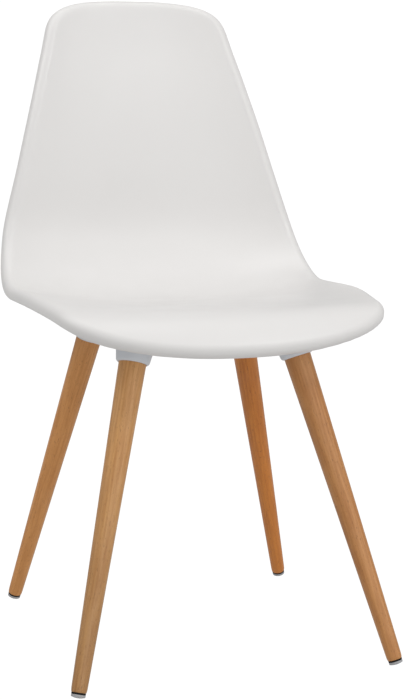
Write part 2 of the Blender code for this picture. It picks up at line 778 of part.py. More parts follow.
def make_screws(material):
    for side, end, number, x, y in screw_places():
        name = f"socket_screw_{end}_{side}_{number}"
        screw = object_from(name, turned(screw_profile(), HOLE_ROUND), material)
        screw.location = (x, y, FLANGE_BOTTOM_Z - GAP)


def build():
    clear_scene()
    materials = {
        "shell": plain_material("white_shell", (0.74, 0.735, 0.72), 0.42),
        "socket": plain_material("white_socket", (0.66, 0.66, 0.66), 0.45),
        "brace": plain_material("grey_powder_coat", (0.42, 0.43, 0.44), 0.5, 0.3),
        "beech": plain_material("beech", (0.47, 0.26, 0.115), 0.45),
        "zinc_steel": plain_material("zinc_steel", (0.62, 0.63, 0.65), 0.3, 1.0),
        "black_rubber": plain_material("black_rubber", (0.012, 0.011, 0.01), 0.7),
        "grey_plastic": plain_material("grey_plastic", (0.34, 0.34, 0.35), 0.4),
    }
    make_shell(materials["shell"])
    for end in ENDS:
        for side in SIDES:
            make_leg_group(end, side, materials)
    make_brace(materials["brace"])
    make_screws(materials["zinc_steel"])


build()
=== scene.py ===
"""Finished surfaces for a dining chair: a moulded shell on four turned beech legs.

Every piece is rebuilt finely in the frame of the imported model, and stands for the plain
node of the same part. Metres, +Z up, the sitter faces -Y.
"""

import logging
import math
from collections.abc import Callable, Sequence
from dataclasses import dataclass, field
from enum import Enum

import bmesh
import bpy
import numpy as np
from mathutils import Matrix, Vector
from mathutils.bvhtree import BVHTree


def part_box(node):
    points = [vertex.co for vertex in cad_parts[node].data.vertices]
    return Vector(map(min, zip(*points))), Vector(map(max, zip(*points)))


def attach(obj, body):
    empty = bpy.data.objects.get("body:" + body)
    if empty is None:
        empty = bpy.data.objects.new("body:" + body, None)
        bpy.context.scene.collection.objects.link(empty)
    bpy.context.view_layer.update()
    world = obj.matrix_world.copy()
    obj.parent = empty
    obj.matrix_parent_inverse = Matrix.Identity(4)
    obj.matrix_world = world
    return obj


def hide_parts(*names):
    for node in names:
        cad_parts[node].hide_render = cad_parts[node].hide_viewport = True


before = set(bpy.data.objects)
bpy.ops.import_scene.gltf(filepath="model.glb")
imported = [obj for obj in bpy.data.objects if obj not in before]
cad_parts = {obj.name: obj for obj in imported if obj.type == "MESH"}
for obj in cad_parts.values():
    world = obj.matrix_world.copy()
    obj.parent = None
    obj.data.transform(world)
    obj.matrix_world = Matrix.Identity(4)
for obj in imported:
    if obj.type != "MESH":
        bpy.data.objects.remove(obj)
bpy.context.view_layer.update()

log = logging.getLogger("dining_chair")

Colour = tuple[float, float, float]
Profile = list[tuple[float, float]]

BODY = "root"
UP = Vector((0.0, 0.0, 1.0))

HOLE_PLAY = 0.0003
FINE_PLAY = 0.0002
HOLE_SPARE = 0.001
OVERSHOOT = 0.01
MERGE_REACH = 1e-6
BROKEN_EDGE_TURN = 38.0
HOLE_SIDES = 28


class Side(Enum):
    """The sitter's side that a leg is on, as a sign along X."""

    LEFT = 1
    RIGHT = -1


class End(Enum):
    """The end of the chair that a leg is at, as a sign along Y."""

    FRONT = -1
    REAR = 1


class Slot(Enum):
    """Material slots of the record."""

    SHELL = "shell"
    SOCKET = "socket"
    BRACE = "brace"
    WOOD = "wood"
    STEEL = "steel"
    RUBBER = "rubber"
    GLIDE = "glide"


@dataclass(frozen=True)
class Corner:
    """One of the chair's four corners."""

    end: End
    side: Side

    @property
    def label(self) -> str:
        """The corner's name, as the nodes spell it."""
        return f"{self.end.name.lower()}_{self.side.name.lower()}"


CORNERS = tuple(Corner(end, side) for end in End for side in Side)


# Node trees


class Graph:
    """Adds and links the nodes of one tree, of shading or of geometry."""

    def __init__(self, tree: bpy.types.NodeTree) -> None:
        """Takes the tree that the nodes go into."""
        self.tree = tree

    def add(self, kind: str, inputs: dict | None = None, **settings: object) -> bpy.types.Node:
        """Adds a node.

        Args:
            kind: The node's type.
            inputs: A value, a socket or a node for each input, by its name or number.
            settings: Attributes of the node, set before its inputs.

        Returns:
            The new node.
        """
        node = self.tree.nodes.new(kind)
        for name, value in settings.items():
            setattr(node, name, value)
        for key, value in (inputs or {}).items():
            source = value.outputs[0] if isinstance(value, bpy.types.Node) else value
            if isinstance(source, bpy.types.NodeSocket):
                self.tree.links.new(source, node.inputs[key])
            else:
                node.inputs[key].default_value = source
        return node

    def maths(self, operation: str, *values: object) -> bpy.types.NodeSocket:
        """Adds a Math node on these values or sockets, and returns its result."""
        return self.add("ShaderNodeMath", dict(enumerate(values)), operation=operation).outputs[0]

    def ramp(
        self, value: object, low: float, high: float, to_low: object = 0.0, to_high: object = 1.0
    ) -> bpy.types.NodeSocket:
        """Maps a value smoothly from one range to another.

        Args:
            value: The socket that is mapped.
            low: The value that gives to_low.
            high: The value that gives to_high.
            to_low: Result at low and below.
            to_high: Result at high and above.

        Returns:
            The mapped value.
        """
        inputs = dict(enumerate((value, low, high, to_low, to_high)))
        node = self.add("ShaderNodeMapRange", inputs, interpolation_type="SMOOTHSTEP")
        return node.outputs[0]

    def blend(self, share: object, first: object, second: object) -> bpy.types.NodeSocket:
        """Mixes two colours, and returns the mix."""
        node = self.add("ShaderNodeMix", {0: share, 6: first, 7: second}, data_type="RGBA")
        return node.outputs[2]

    def noise(
        self, vector: object, scale: float, detail: float = 2.0, roughness: float = 0.5
    ) -> bpy.types.NodeSocket:
        """Adds a noise of this many cells per metre, and returns its value."""
        inputs = {"Vector": vector, "Scale": scale, "Detail": detail, "Roughness": roughness}
        return self.add("ShaderNodeTexNoise", inputs).outputs[0]

    def stretched(self, vector: object, scale: Sequence[float]) -> bpy.types.NodeSocket:
        """Scales coordinates by a factor for each axis."""
        inputs = {"Vector": vector, "Scale": tuple(scale)}
        return self.add("ShaderNodeMapping", inputs).outputs[0]


def rgba(colour: Colour) -> tuple[float, float, float, float]:
    """An opaque colour with its alpha."""
    return (*colour, 1.0)


def new_group(
    name: str, kind: str, inputs: dict[str, tuple[str, object]], outputs: dict[str, str]
) -> tuple[Graph, bpy.types.NodeOutputs, bpy.types.NodeInputs]:
    """Starts a node group.

    Args:
        name: The group's name.
        kind: ShaderNodeTree or GeometryNodeTree.
        inputs: Type and default of each input, by name. A default of None sets none.
        outputs: Type of each output, by name.

    Returns:
        The group's graph, the sockets that carry its inputs and those that take its outputs.
    """
    tree = bpy.data.node_groups.new(name, kind)
    for label, (socket_type, default) in inputs.items():
        socket = tree.interface.new_socket(label, in_out="INPUT", socket_type=socket_type)
        if default is not None:
            socket.default_value = default
    for label, socket_type in outputs.items():
        tree.interface.new_socket(label, in_out="OUTPUT", socket_type=socket_type)
    graph = Graph(tree)
    return graph, graph.add("NodeGroupInput").outputs, graph.add("NodeGroupOutput").inputs


FLOAT = "NodeSocketFloat"
WHOLE = "NodeSocketInt"
VECTOR = "NodeSocketVector"
COLOUR = "NodeSocketColor"
MATERIAL = "NodeSocketMaterial"
GEOMETRY = "NodeSocketGeometry"


def make_moulded_texture() -> bpy.types.NodeTree:
    """Makes the group for the skin of a moulded or coated surface.

    Returns:
        A group whose Height is the fine pebbling of the mould, with a slow unevenness under
        it, and whose Gloss varies between 0 and 1 with the way the surface set.
    """
    graph, given, result = new_group(
        "moulded_texture",
        "ShaderNodeTree",
        {"Vector": (VECTOR, None), "Pebbles": (FLOAT, 1400.0), "Waves": (FLOAT, 30.0)},
        {"Height": FLOAT, "Gloss": FLOAT},
    )
    pebbles = graph.noise(given["Vector"], given["Pebbles"], 1.0)
    waves = graph.noise(given["Vector"], given["Waves"], 1.0)
    drift = graph.noise(given["Vector"], 9.0, 3.0)
    fine = graph.maths("MULTIPLY", pebbles, 0.35)
    graph.tree.links.new(graph.maths("ADD", fine, waves), result["Height"])
    speckle = graph.maths("MULTIPLY", graph.maths("SUBTRACT", pebbles, 0.5), 0.3)
    gloss = graph.maths("ADD", graph.ramp(drift, 0.3, 0.7), speckle)
    graph.tree.links.new(gloss, result["Gloss"])
    return graph.tree


def make_surface_wear() -> bpy.types.NodeTree:
    """Makes the group for dust on what faces up, smudges, and worn edges.

    Returns:
        A group that changes a colour, and puts out how much rougher the surface gets.
    """
    graph, given, result = new_group(
        "surface_wear",
        "ShaderNodeTree",
        {
            "Vector": (VECTOR, None),
            "Colour": (COLOUR, (0.5, 0.5, 0.5, 1.0)),
            "Edge Colour": (COLOUR, (0.5, 0.5, 0.5, 1.0)),
            "Dust Colour": (COLOUR, (0.5, 0.48, 0.44, 1.0)),
            "Dust": (FLOAT, 0.05),
            "Smudges": (FLOAT, 0.05),
            "Edges": (FLOAT, 0.2),
        },
        {"Colour": COLOUR, "Roughening": FLOAT},
    )
    normal = graph.add("ShaderNodeNewGeometry").outputs["Normal"]
    facing = graph.add("ShaderNodeSeparateXYZ", {0: normal})
    upward = graph.ramp(facing.outputs["Z"], 0.2, 1.0)
    patches = graph.ramp(graph.noise(given["Vector"], 22.0, 4.0), 0.35, 0.75)
    dust = graph.maths("MULTIPLY", graph.maths("MULTIPLY", upward, patches), given["Dust"])
    smears = graph.ramp(graph.noise(given["Vector"], 12.0, 5.0, 0.62), 0.48, 0.78)
    smears = graph.maths("MULTIPLY", smears, given["Smudges"])
    edge = graph.add("ShaderNodeAttribute", attribute_name="edge").outputs["Fac"]
    chips = graph.ramp(graph.noise(given["Vector"], 420.0, 3.0), 0.35, 0.65)
    worn = graph.maths("MULTIPLY", graph.maths("MULTIPLY", edge, chips), given["Edges"])
    cover = graph.maths("ADD", dust, smears)
    dusty = graph.blend(cover, given["Colour"], given["Dust Colour"])
    graph.tree.links.new(graph.blend(worn, dusty, given["Edge Colour"]), result["Colour"])
    roughening = graph.maths("ADD", cover, graph.maths("MULTIPLY", worn, 0.5))
    graph.tree.links.new(roughening, result["Roughening"])
    return graph.tree


def make_timber_grain() -> bpy.types.NodeTree:
    """Makes the group for beech: growth bands, streaks and the short flecks of its rays.

    Returns:
        A group on coordinates whose Z is along the grain.
    """
    graph, given, result = new_group(
        "timber_grain",
        "ShaderNodeTree",
        {
            "Vector": (VECTOR, None),
            "Early Wood": (COLOUR, (0.5, 0.3, 0.15, 1.0)),
            "Late Wood": (COLOUR, (0.4, 0.22, 0.1, 1.0)),
            "Fleck": (COLOUR, (0.25, 0.12, 0.05, 1.0)),
            "Fleck Strength": (FLOAT, 0.5),
        },
        {"Colour": COLOUR, "Height": FLOAT, "Streaks": FLOAT},
    )
    place = given["Vector"]
    bands = graph.add(
        "ShaderNodeTexWave",
        {
            "Vector": graph.stretched(place, (1.0, 0.55, 0.07)),
            "Scale": 62.0,
            "Distortion": 5.5,
            "Detail": 3.0,
            "Detail Scale": 1.6,
        },
        wave_type="BANDS",
        bands_direction="X",
    ).outputs[1]
    streaks = graph.noise(graph.stretched(place, (1.0, 1.0, 0.055)), 420.0, 4.0, 0.62)
    broad = graph.noise(graph.stretched(place, (1.0, 1.0, 0.22)), 70.0, 2.0)
    tone = graph.maths("MULTIPLY", bands, 0.28)
    tone = graph.maths("ADD", tone, graph.maths("MULTIPLY", graph.ramp(streaks, 0.36, 0.66), 0.40))
    tone = graph.maths("ADD", tone, graph.maths("MULTIPLY", graph.ramp(broad, 0.34, 0.66), 0.32))
    wood = graph.blend(tone, given["Early Wood"], given["Late Wood"])
    dashes = graph.noise(graph.stretched(place, (1.0, 1.0, 0.16)), 1500.0, 1.0)
    dashes = graph.ramp(dashes, 0.60, 0.72)
    pores = graph.noise(graph.stretched(place, (1.0, 1.0, 0.26)), 760.0, 0.0)
    pores = graph.ramp(pores, 0.73, 0.78)
    marks = graph.maths("MAXIMUM", graph.maths("MULTIPLY", dashes, 0.55), pores)
    share = graph.maths("MULTIPLY", marks, given["Fleck Strength"])
    graph.tree.links.new(graph.blend(share, wood, given["Fleck"]), result["Colour"])
    relief = graph.maths("SUBTRACT", graph.maths("MULTIPLY", streaks, 0.4), marks)
    graph.tree.links.new(relief, result["Height"])
    graph.tree.links.new(tone, result["Streaks"])
    return graph.tree


@dataclass
class EffectGroups:
    """The shading effects that several finishes share."""

    moulded_texture: bpy.types.NodeTree = field(default_factory=make_moulded_texture)
    surface_wear: bpy.types.NodeTree = field(default_factory=make_surface_wear)
    timber_grain: bpy.types.NodeTree = field(default_factory=make_timber_grain)


# Finishes


def start_material(name: str) -> tuple[bpy.types.Material, Graph, bpy.types.Node]:
    """Makes a material with nothing but its shader.

    Args:
        name: The material's name.

    Returns:
        The material, its graph and its Principled BSDF.
    """
    material = bpy.data.materials.new(name)
    material.use_nodes = True
    return material, Graph(material.node_tree), material.node_tree.nodes["Principled BSDF"]


@dataclass(frozen=True)
class MouldedPlastic:
    """Injection-moulded or coated surface: fine pebbling, a slow unevenness and light dust."""

    name: str
    colour: Colour
    roughness: float = 0.42
    roughness_spread: float = 0.07
    metallic: float = 0.0
    edge_colour: Colour = (0.8, 0.8, 0.79)
    dust: float = 0.05
    smudges: float = 0.03
    edges: float = 0.15
    pebbles: float = 1400.0
    waves: float = 30.0
    relief: float = 0.00006
    specular: float = 0.5

    def material(self, effects: EffectGroups) -> bpy.types.Material:
        """Makes the finish's material.

        Args:
            effects: The shared shading groups.

        Returns:
            The new material.
        """
        material, graph, shader = start_material(self.name)
        place = graph.add("ShaderNodeTexCoord").outputs["Object"]
        texture = graph.add(
            "ShaderNodeGroup",
            {"Vector": place, "Pebbles": self.pebbles, "Waves": self.waves},
            node_tree=effects.moulded_texture,
        )
        wear = graph.add(
            "ShaderNodeGroup",
            {
                "Vector": place,
                "Colour": rgba(self.colour),
                "Edge Colour": rgba(self.edge_colour),
                "Dust": self.dust,
                "Smudges": self.smudges,
                "Edges": self.edges,
            },
            node_tree=effects.surface_wear,
        )
        low = self.roughness - self.roughness_spread
        high = self.roughness + self.roughness_spread
        sheen = graph.ramp(texture.outputs["Gloss"], 0.0, 1.0, low, high)
        rough = graph.maths("ADD", sheen, wear.outputs["Roughening"])
        bump = graph.add(
            "ShaderNodeBump",
            {"Height": texture.outputs["Height"], "Distance": self.relief, "Strength": 1.0},
        )
        graph.tree.links.new(wear.outputs["Colour"], shader.inputs["Base Color"])
        graph.tree.links.new(rough, shader.inputs["Roughness"])
        graph.tree.links.new(bump.outputs[0], shader.inputs["Normal"])
        shader.inputs["Metallic"].default_value = self.metallic
        shader.inputs["Specular IOR Level"].default_value = self.specular
        return material


@dataclass(frozen=True)
class OiledBeech:
    """Turned beech with a thin satin oil. Its brightness is scaled from the foot to the top, which
    paints light and shade into the wood: painted shade towards the foot, painted light towards the
    top.
    """

    name: str
    early_wood: Colour
    late_wood: Colour
    fleck: Colour
    fleck_strength: float = 0.45
    roughness: float = 0.40
    roughness_spread: float = 0.08
    relief: float = 0.00012
    foot_painted_light: float = 1.0
    top_painted_light: float = 1.0

    def material(self, effects: EffectGroups) -> bpy.types.Material:
        """Makes the finish's material, on the piece's own grain coordinates.

        Args:
            effects: The shared shading groups.

        Returns:
            The new material.
        """
        material, graph, shader = start_material(self.name)
        place = graph.add("ShaderNodeAttribute", attribute_name="grain").outputs["Vector"]
        timber = graph.add(
            "ShaderNodeGroup",
            {
                "Vector": place,
                "Early Wood": rgba(self.early_wood),
                "Late Wood": rgba(self.late_wood),
                "Fleck": rgba(self.fleck),
                "Fleck Strength": self.fleck_strength,
            },
            node_tree=effects.timber_grain,
        )
        height = graph.add("ShaderNodeAttribute", attribute_name="height").outputs["Fac"]
        # Painted light and shade: the wood's colour is scaled from darker at the foot to lighter at
        # the top, standing in for how the light falls along the leg.
        tone = graph.ramp(height, 0.0, 1.0, self.foot_painted_light, self.top_painted_light)
        painted_light_colour = graph.add(
            "ShaderNodeHueSaturation", {"Value": tone, "Color": timber.outputs["Colour"]}
        )
        wear = graph.add(
            "ShaderNodeGroup",
            {
                "Vector": place,
                "Colour": painted_light_colour,
                "Edge Colour": rgba(self.early_wood),
                "Dust": 0.02,
                "Smudges": 0.03,
                "Edges": 0.5,
            },
            node_tree=effects.surface_wear,
        )
        low = self.roughness - self.roughness_spread
        high = self.roughness + self.roughness_spread
        sheen = graph.ramp(timber.outputs["Streaks"], 0.0, 1.0, low, high)
        rough = graph.maths("ADD", sheen, wear.outputs["Roughening"])
        bump = graph.add(
            "ShaderNodeBump",
            {"Height": timber.outputs["Height"], "Distance": self.relief, "Strength": 0.6},
        )
        graph.tree.links.new(wear.outputs["Colour"], shader.inputs["Base Color"])
        graph.tree.links.new(rough, shader.inputs["Roughness"])
        graph.tree.links.new(bump.outputs[0], shader.inputs["Normal"])
        return material


@dataclass
class Finishes:
    """The chair's materials, by the piece that wears them."""

    effects: EffectGroups = field(default_factory=EffectGroups)
    shell: MouldedPlastic = MouldedPlastic(
        "white_shell",
        (0.722, 0.709, 0.697),
        roughness=0.42,
        dust=0.03,
        smudges=0.02,
        edges=0.0,
        relief=0.00002,
    )
    socket: MouldedPlastic = MouldedPlastic(
        "white_socket", (0.665, 0.69, 0.725), roughness=0.45, pebbles=2200.0, relief=0.00004
    )
    brace: MouldedPlastic = MouldedPlastic(
        "grey_powder_coat",
        (0.36, 0.37, 0.38),
        roughness=0.5,
        metallic=0.2,
        edge_colour=(0.55, 0.55, 0.56),
        edges=0.5,
        pebbles=2600.0,
        waves=700.0,
        relief=0.0001,
    )
    steel: MouldedPlastic = MouldedPlastic(
        "zinc_steel",
        (0.63, 0.64, 0.66),
        roughness=0.3,
        roughness_spread=0.1,
        metallic=1.0,
        edge_colour=(0.78, 0.78, 0.8),
        edges=0.6,
        pebbles=3200.0,
        waves=500.0,
        relief=0.00002,
    )
    rubber: MouldedPlastic = MouldedPlastic(
        "black_rubber",
        (0.006, 0.005, 0.005),
        roughness=0.68,
        specular=0.12,
        edge_colour=(0.06, 0.058, 0.055),
        dust=0.03,
        smudges=0.03,
        edges=0.2,
        pebbles=3000.0,
        relief=0.00005,
    )
    glide: MouldedPlastic = MouldedPlastic(
        "grey_glide",
        (0.36, 0.36, 0.37),
        roughness=0.4,
        edge_colour=(0.22, 0.22, 0.23),
        dust=0.1,
        smudges=0.25,
        edges=0.5,
        pebbles=2600.0,
        relief=0.00004,
    )
    front_left_beech: OiledBeech = OiledBeech(
        "beech_front_left", (0.575, 0.265, 0.085), (0.42, 0.168, 0.045), (0.20, 0.08, 0.02)
    )
    front_right_beech: OiledBeech = OiledBeech(
        "beech_front_right",
        (0.545, 0.288, 0.106),
        (0.395, 0.18, 0.054),
        (0.20, 0.09, 0.028),
        # Painted light and shade: this leg is made darker at its foot and lighter at its top for
        # the light that falls on it, not for its wood.
        foot_painted_light=0.85,
        top_painted_light=1.26,
    )
    rear_left_beech: OiledBeech = OiledBeech(
        "beech_rear_left", (0.62, 0.22, 0.034), (0.45, 0.138, 0.018), (0.20, 0.06, 0.01)
    )
    rear_right_beech: OiledBeech = OiledBeech(
        "beech_rear_right", (0.66, 0.305, 0.094), (0.49, 0.203, 0.052), (0.21, 0.08, 0.02)
    )
    made: dict[str, bpy.types.Material] = field(default_factory=dict)

    def beech(self, corner: Corner) -> OiledBeech:
        """Picks the wood of one leg: each leg has colours of its own."""
        return getattr(self, f"{corner.label}_beech")

    def wear(self, finish: MouldedPlastic | OiledBeech) -> bpy.types.Material:
        """Gives a finish's material, made once.

        Args:
            finish: One of this object's finishes.

        Returns:
            Its material.
        """
        if finish.name not in self.made:
            self.made[finish.name] = finish.material(self.effects)
        return self.made[finish.name]


# Meshes


def mesh_from(name: str, builder: bmesh.types.BMesh, sharp: float = 35.0) -> bpy.types.Mesh:
    """Turns a bmesh, which is used up, into a smooth mesh that faces out.

    Args:
        name: The mesh's name.
        builder: The shape.
        sharp: Angle in degrees past which an edge stays sharp.

    Returns:
        The new mesh.
    """
    bmesh.ops.recalc_face_normals(builder, faces=builder.faces)
    mesh = bpy.data.meshes.new(name)
    builder.to_mesh(mesh)
    builder.free()
    smooth(mesh, sharp)
    return mesh


def smooth(mesh: bpy.types.Mesh, sharp: float) -> None:
    """Shades a mesh smooth, but for edges past an angle in degrees."""
    mesh.shade_smooth()
    mesh.set_sharp_from_angle(angle=math.radians(sharp))


def temporary(mesh: bpy.types.Mesh) -> bpy.types.Object:
    """Puts a mesh in the scene until its modifiers are worked out."""
    obj = bpy.data.objects.new(mesh.name, mesh)
    bpy.context.scene.collection.objects.link(obj)
    return obj


def worked_out(obj: bpy.types.Object, sharp: float) -> bpy.types.Mesh:
    """Gives a temporary object's mesh with its modifiers worked in, and removes the object.

    Args:
        obj: The temporary object.
        sharp: Angle in degrees past which an edge stays sharp.

    Returns:
        A plain mesh.
    """
    bpy.context.view_layer.update()
    graph = bpy.context.evaluated_depsgraph_get()
    mesh = bpy.data.meshes.new_from_object(obj.evaluated_get(graph))
    mesh.name = obj.name
    bpy.data.objects.remove(obj)
    smooth(mesh, sharp)
    return mesh


def shaped(
    mesh: bpy.types.Mesh,
    joined: Sequence[bpy.types.Mesh] = (),
    cut: Sequence[bpy.types.Mesh] = (),
    bevel: float = 0.0,
    sharp: float = 35.0,
) -> bpy.types.Mesh:
    """Joins meshes to a mesh, cuts others from it, and breaks its edges.

    Args:
        mesh: The mesh to start from.
        joined: Meshes that become one body with it.
        cut: Meshes that are taken away after that.
        bevel: Width of the broken edges, or 0 for none.
        sharp: Angle in degrees past which an edge stays sharp.

    Returns:
        A plain mesh.
    """
    obj = temporary(mesh)
    helpers = []
    for others, operation in ((joined, "UNION"), (cut, "DIFFERENCE")):
        for other in others:
            helper = temporary(other)
            helpers.append(helper)
            modifier = obj.modifiers.new(helper.name, "BOOLEAN")
            modifier.operation = operation
            modifier.object = helper
            modifier.solver = "EXACT"
    if bevel:
        modifier = obj.modifiers.new("broken_edges", "BEVEL")
        modifier.width = bevel
        modifier.segments = 2
        modifier.limit_method = "ANGLE"
        modifier.angle_limit = math.radians(BROKEN_EDGE_TURN)
        modifier.use_clamp_overlap = True
    result = worked_out(obj, sharp)
    for helper in helpers:
        bpy.data.objects.remove(helper)
    close_slivers(result, sharp)
    return result


def close_slivers(mesh: bpy.types.Mesh, sharp: float, reach: float = 0.00001) -> None:
    """Joins the points that a Boolean leaves a hair apart, and drops the faces between them.

    Args:
        mesh: The mesh.
        sharp: Angle in degrees past which an edge stays sharp.
        reach: Greatest distance between two points that become one.
    """
    builder = bmesh.new()
    builder.from_mesh(mesh)
    bmesh.ops.remove_doubles(builder, verts=builder.verts, dist=reach)
    bmesh.ops.dissolve_degenerate(builder, edges=builder.edges, dist=reach / 2)
    gaps = [edge for edge in builder.edges if len(edge.link_faces) == 1]
    bmesh.ops.holes_fill(builder, edges=gaps, sides=8)
    builder.to_mesh(mesh)
    builder.free()
    smooth(mesh, sharp)


def turned(profile: Profile, sides: int) -> bmesh.types.BMesh:
    """Spins a profile about Z.

    Args:
        profile: (radius, height) points, with both ends on the axis, or a closed ring.
        sides: Steps round the axis.

    Returns:
        The turned shape.
    """
    builder = bmesh.new()
    points = [builder.verts.new((radius, 0.0, height)) for radius, height in profile]
    edges = [builder.edges.new(pair) for pair in zip(points, points[1:])]
    if profile[0][0] > 0 and profile[-1][0] > 0:
        edges.append(builder.edges.new((points[-1], points[0])))
    bmesh.ops.spin(
        builder, geom=points + edges, axis=(0, 0, 1), cent=(0, 0, 0), angle=math.tau, steps=sides
    )
    bmesh.ops.remove_doubles(builder, verts=builder.verts, dist=MERGE_REACH)
    return builder


def arc(
    centre: tuple[float, float], radius: float, start: float, end: float, steps: int
) -> Profile:
    """Points of an arc.

    Args:
        centre: The arc's centre, as (radius, height).
        radius: The arc's own radius.
        start: Angle of its first point, in degrees.
        end: Angle of its last point, in degrees.
        steps: Steps from the first to the last.

    Returns:
        The points, as (radius, height).
    """
    angles = np.radians(np.linspace(start, end, steps + 1))
    return [(centre[0] + radius * math.cos(a), centre[1] + radius * math.sin(a)) for a in angles]


def softened(profile: Profile, radius: float, steps: int = 3) -> Profile:
    """Rounds the inner corners of a profile.

    Args:
        profile: (radius, height) points.
        radius: How far from a corner its rounding starts, where the stretch is long enough.
        steps: Steps in each rounding.

    Returns:
        The profile with each corner but the ends replaced by a short curve.
    """
    points = [Vector(point) for point in profile]
    result = [points[0]]
    for before, corner, after in zip(points, points[1:], points[2:]):
        back = min(radius, (before - corner).length * 0.45)
        on = min(radius, (after - corner).length * 0.45)
        start = corner + (before - corner).normalized() * back
        end = corner + (after - corner).normalized() * on
        for t in np.linspace(0.0, 1.0, steps + 1):
            result.append(start * (1 - t) ** 2 + corner * (2 * t * (1 - t)) + end * t**2)
    result.append(points[-1])
    return [(point.x, point.y) for point in result]


Height = Callable[[float, float], float]


def level(height: float) -> Height:
    """A top for an upright shape that is level."""
    return lambda x, y: height


def upright_cylinder(
    builder: bmesh.types.BMesh,
    x: float,
    y: float,
    bottom: float,
    top: Height,
    radius: float,
    sides: int = HOLE_SIDES,
) -> None:
    """Adds a closed upright cylinder whose upper edge follows a surface.

    Args:
        builder: Where it goes.
        x: X of its axis.
        y: Y of its axis.
        bottom: Height of its lower face.
        top: Gives the upper edge's height at a place.
        radius: Its radius.
        sides: Its number of sides.
    """
    angles = np.arange(sides) * math.tau / sides
    ring = [(x + radius * math.cos(a), y + radius * math.sin(a)) for a in angles]
    low = [builder.verts.new((px, py, bottom)) for px, py in ring]
    high = [builder.verts.new((px, py, top(px, py))) for px, py in ring]
    crown = builder.verts.new((x, y, top(x, y)))
    builder.faces.new(low[::-1])
    for i in range(sides):
        j = (i + 1) % sides
        builder.faces.new((low[i], low[j], high[j], high[i]))
        builder.faces.new((high[i], high[j], crown))


def upright_wall(
    builder: bmesh.types.BMesh, x: float, y: float, section: Profile, top: Height, sides: int
) -> None:
    """Adds a closed ring-shaped wall whose upper edges follow a surface.

    Args:
        builder: Where it goes.
        x: X of its axis.
        y: Y of its axis.
        section: (radius, height) points round its lower part, outer side first.
        top: Gives the upper edges' height at a place.
        sides: Steps round the ring.
    """
    angles = np.arange(sides) * math.tau / sides
    outer, inner = section[0][0], section[-1][0]
    loops = []
    for radius, height in [(outer, None), *section, (inner, None)]:
        ring = [(x + radius * math.cos(a), y + radius * math.sin(a)) for a in angles]
        loop = []
        for px, py in ring:
            loop.append(builder.verts.new((px, py, top(px, py) if height is None else height)))
        loops.append(loop)
    for first, second in zip(loops, loops[1:] + loops[:1]):
        for i in range(sides):
            j = (i + 1) % sides
            builder.faces.new((first[i], first[j], second[j], second[i]))


def extruded(outline: Profile, bottom: float, top: float) -> bmesh.types.BMesh:
    """A prism on a flat outline of (x, y) points."""
    builder = bmesh.new()
    face = builder.faces.new([builder.verts.new((x, y, bottom)) for x, y in outline])
    grown = bmesh.ops.extrude_face_region(builder, geom=[face])
    lifted = [item for item in grown["geom"] if isinstance(item, bmesh.types.BMVert)]
    bmesh.ops.translate(builder, verts=lifted, vec=(0, 0, top - bottom))
    return builder


def box_builder(low: Vector, high: Vector) -> bmesh.types.BMesh:
    """A block between two corners."""
    builder = bmesh.new()
    matrix = Matrix.Translation((low + high) / 2) @ Matrix.Diagonal((*(high - low), 1.0))
    bmesh.ops.create_cube(builder, size=1.0, matrix=matrix)
    return builder


def mark_edges(mesh: bpy.types.Mesh, least: float = 12.0, most: float = 50.0) -> None:
    """Stores how near each point is to an outer edge, for the wear on it.

    Args:
        mesh: The mesh that gets the attribute.
        least: Turn between two faces, in degrees, that starts to count as an edge.
        most: Turn that counts in full.
    """
    builder = bmesh.new()
    builder.from_mesh(mesh)
    marks = np.zeros(len(mesh.vertices), np.float32)
    low, high = math.radians(least), math.radians(most)
    for edge in builder.edges:
        if len(edge.link_faces) != 2 or not edge.is_convex:
            continue
        share = (edge.calc_face_angle(0.0) - low) / (high - low)
        for vert in edge.verts:
            marks[vert.index] = max(marks[vert.index], min(1.0, max(0.0, share)))
    builder.free()
    attribute = mesh.attributes.new("edge", "FLOAT", "POINT")
    attribute.data.foreach_set("value", marks)


def fit_inside(mesh: bpy.types.Mesh, node: str) -> None:
    """Shrinks a mesh about its middle by the hair that it stands out of its node's box.

    Args:
        mesh: The mesh, in place.
        node: The node that it stands for.
    """
    low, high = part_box(node)
    points = np.empty(len(mesh.vertices) * 3, np.float32)
    mesh.vertices.foreach_get("co", points)
    points = points.reshape(-1, 3)
    middle = (points.max(0) + points.min(0)) / 2
    room = np.minimum(np.array(high) - middle, middle - np.array(low))
    share = np.minimum(1.0, room / (points.max(0) - middle))
    points = middle + (points - middle) * share
    mesh.vertices.foreach_set("co", points.astype(np.float32).ravel())
    mesh.update()


def place_piece(
    name: str, mesh: bpy.types.Mesh, nodes: Sequence[str], material: bpy.types.Material
) -> bpy.types.Object:
    """Puts a finished piece in the scene in place of its nodes.

    Args:
        name: The piece's name.
        mesh: Its mesh, in place.
        nodes: The nodes that it stands for.
        material: Its material.

    Returns:
        The piece.
    """
    mesh.name = name
    mesh.materials.clear()
    mesh.materials.append(material)
    mark_edges(mesh)
    piece = bpy.data.objects.new(name, mesh)
    bpy.context.scene.collection.objects.link(piece)
    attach(piece, BODY)
    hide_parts(*nodes)
    log.info("%s: %d faces", name, len(mesh.polygons))
    return piece


# Shapes that follow a rule, as Geometry Nodes


def run_tree(
    tree: bpy.types.NodeTree, values: dict[str, object], base: bpy.types.Mesh | None = None
) -> bpy.types.Mesh:
    """Works a Geometry Nodes tree out into a plain mesh.

    Args:
        tree: The tree.
        values: Value of each input that isn't left at its default, by name.
        base: The mesh that the tree starts from, if it takes one.

    Returns:
        The mesh that the tree makes.
    """
    obj = temporary(base or bpy.data.meshes.new(tree.name))
    modifier = obj.modifiers.new(tree.name, "NODES")
    modifier.node_group = tree
    for item in tree.interface.items_tree:
        if item.item_type == "SOCKET" and item.in_out == "INPUT" and item.name in values:
            modifier[item.identifier] = values[item.name]
    obj.update_tag()
    return worked_out(obj, 30.0)


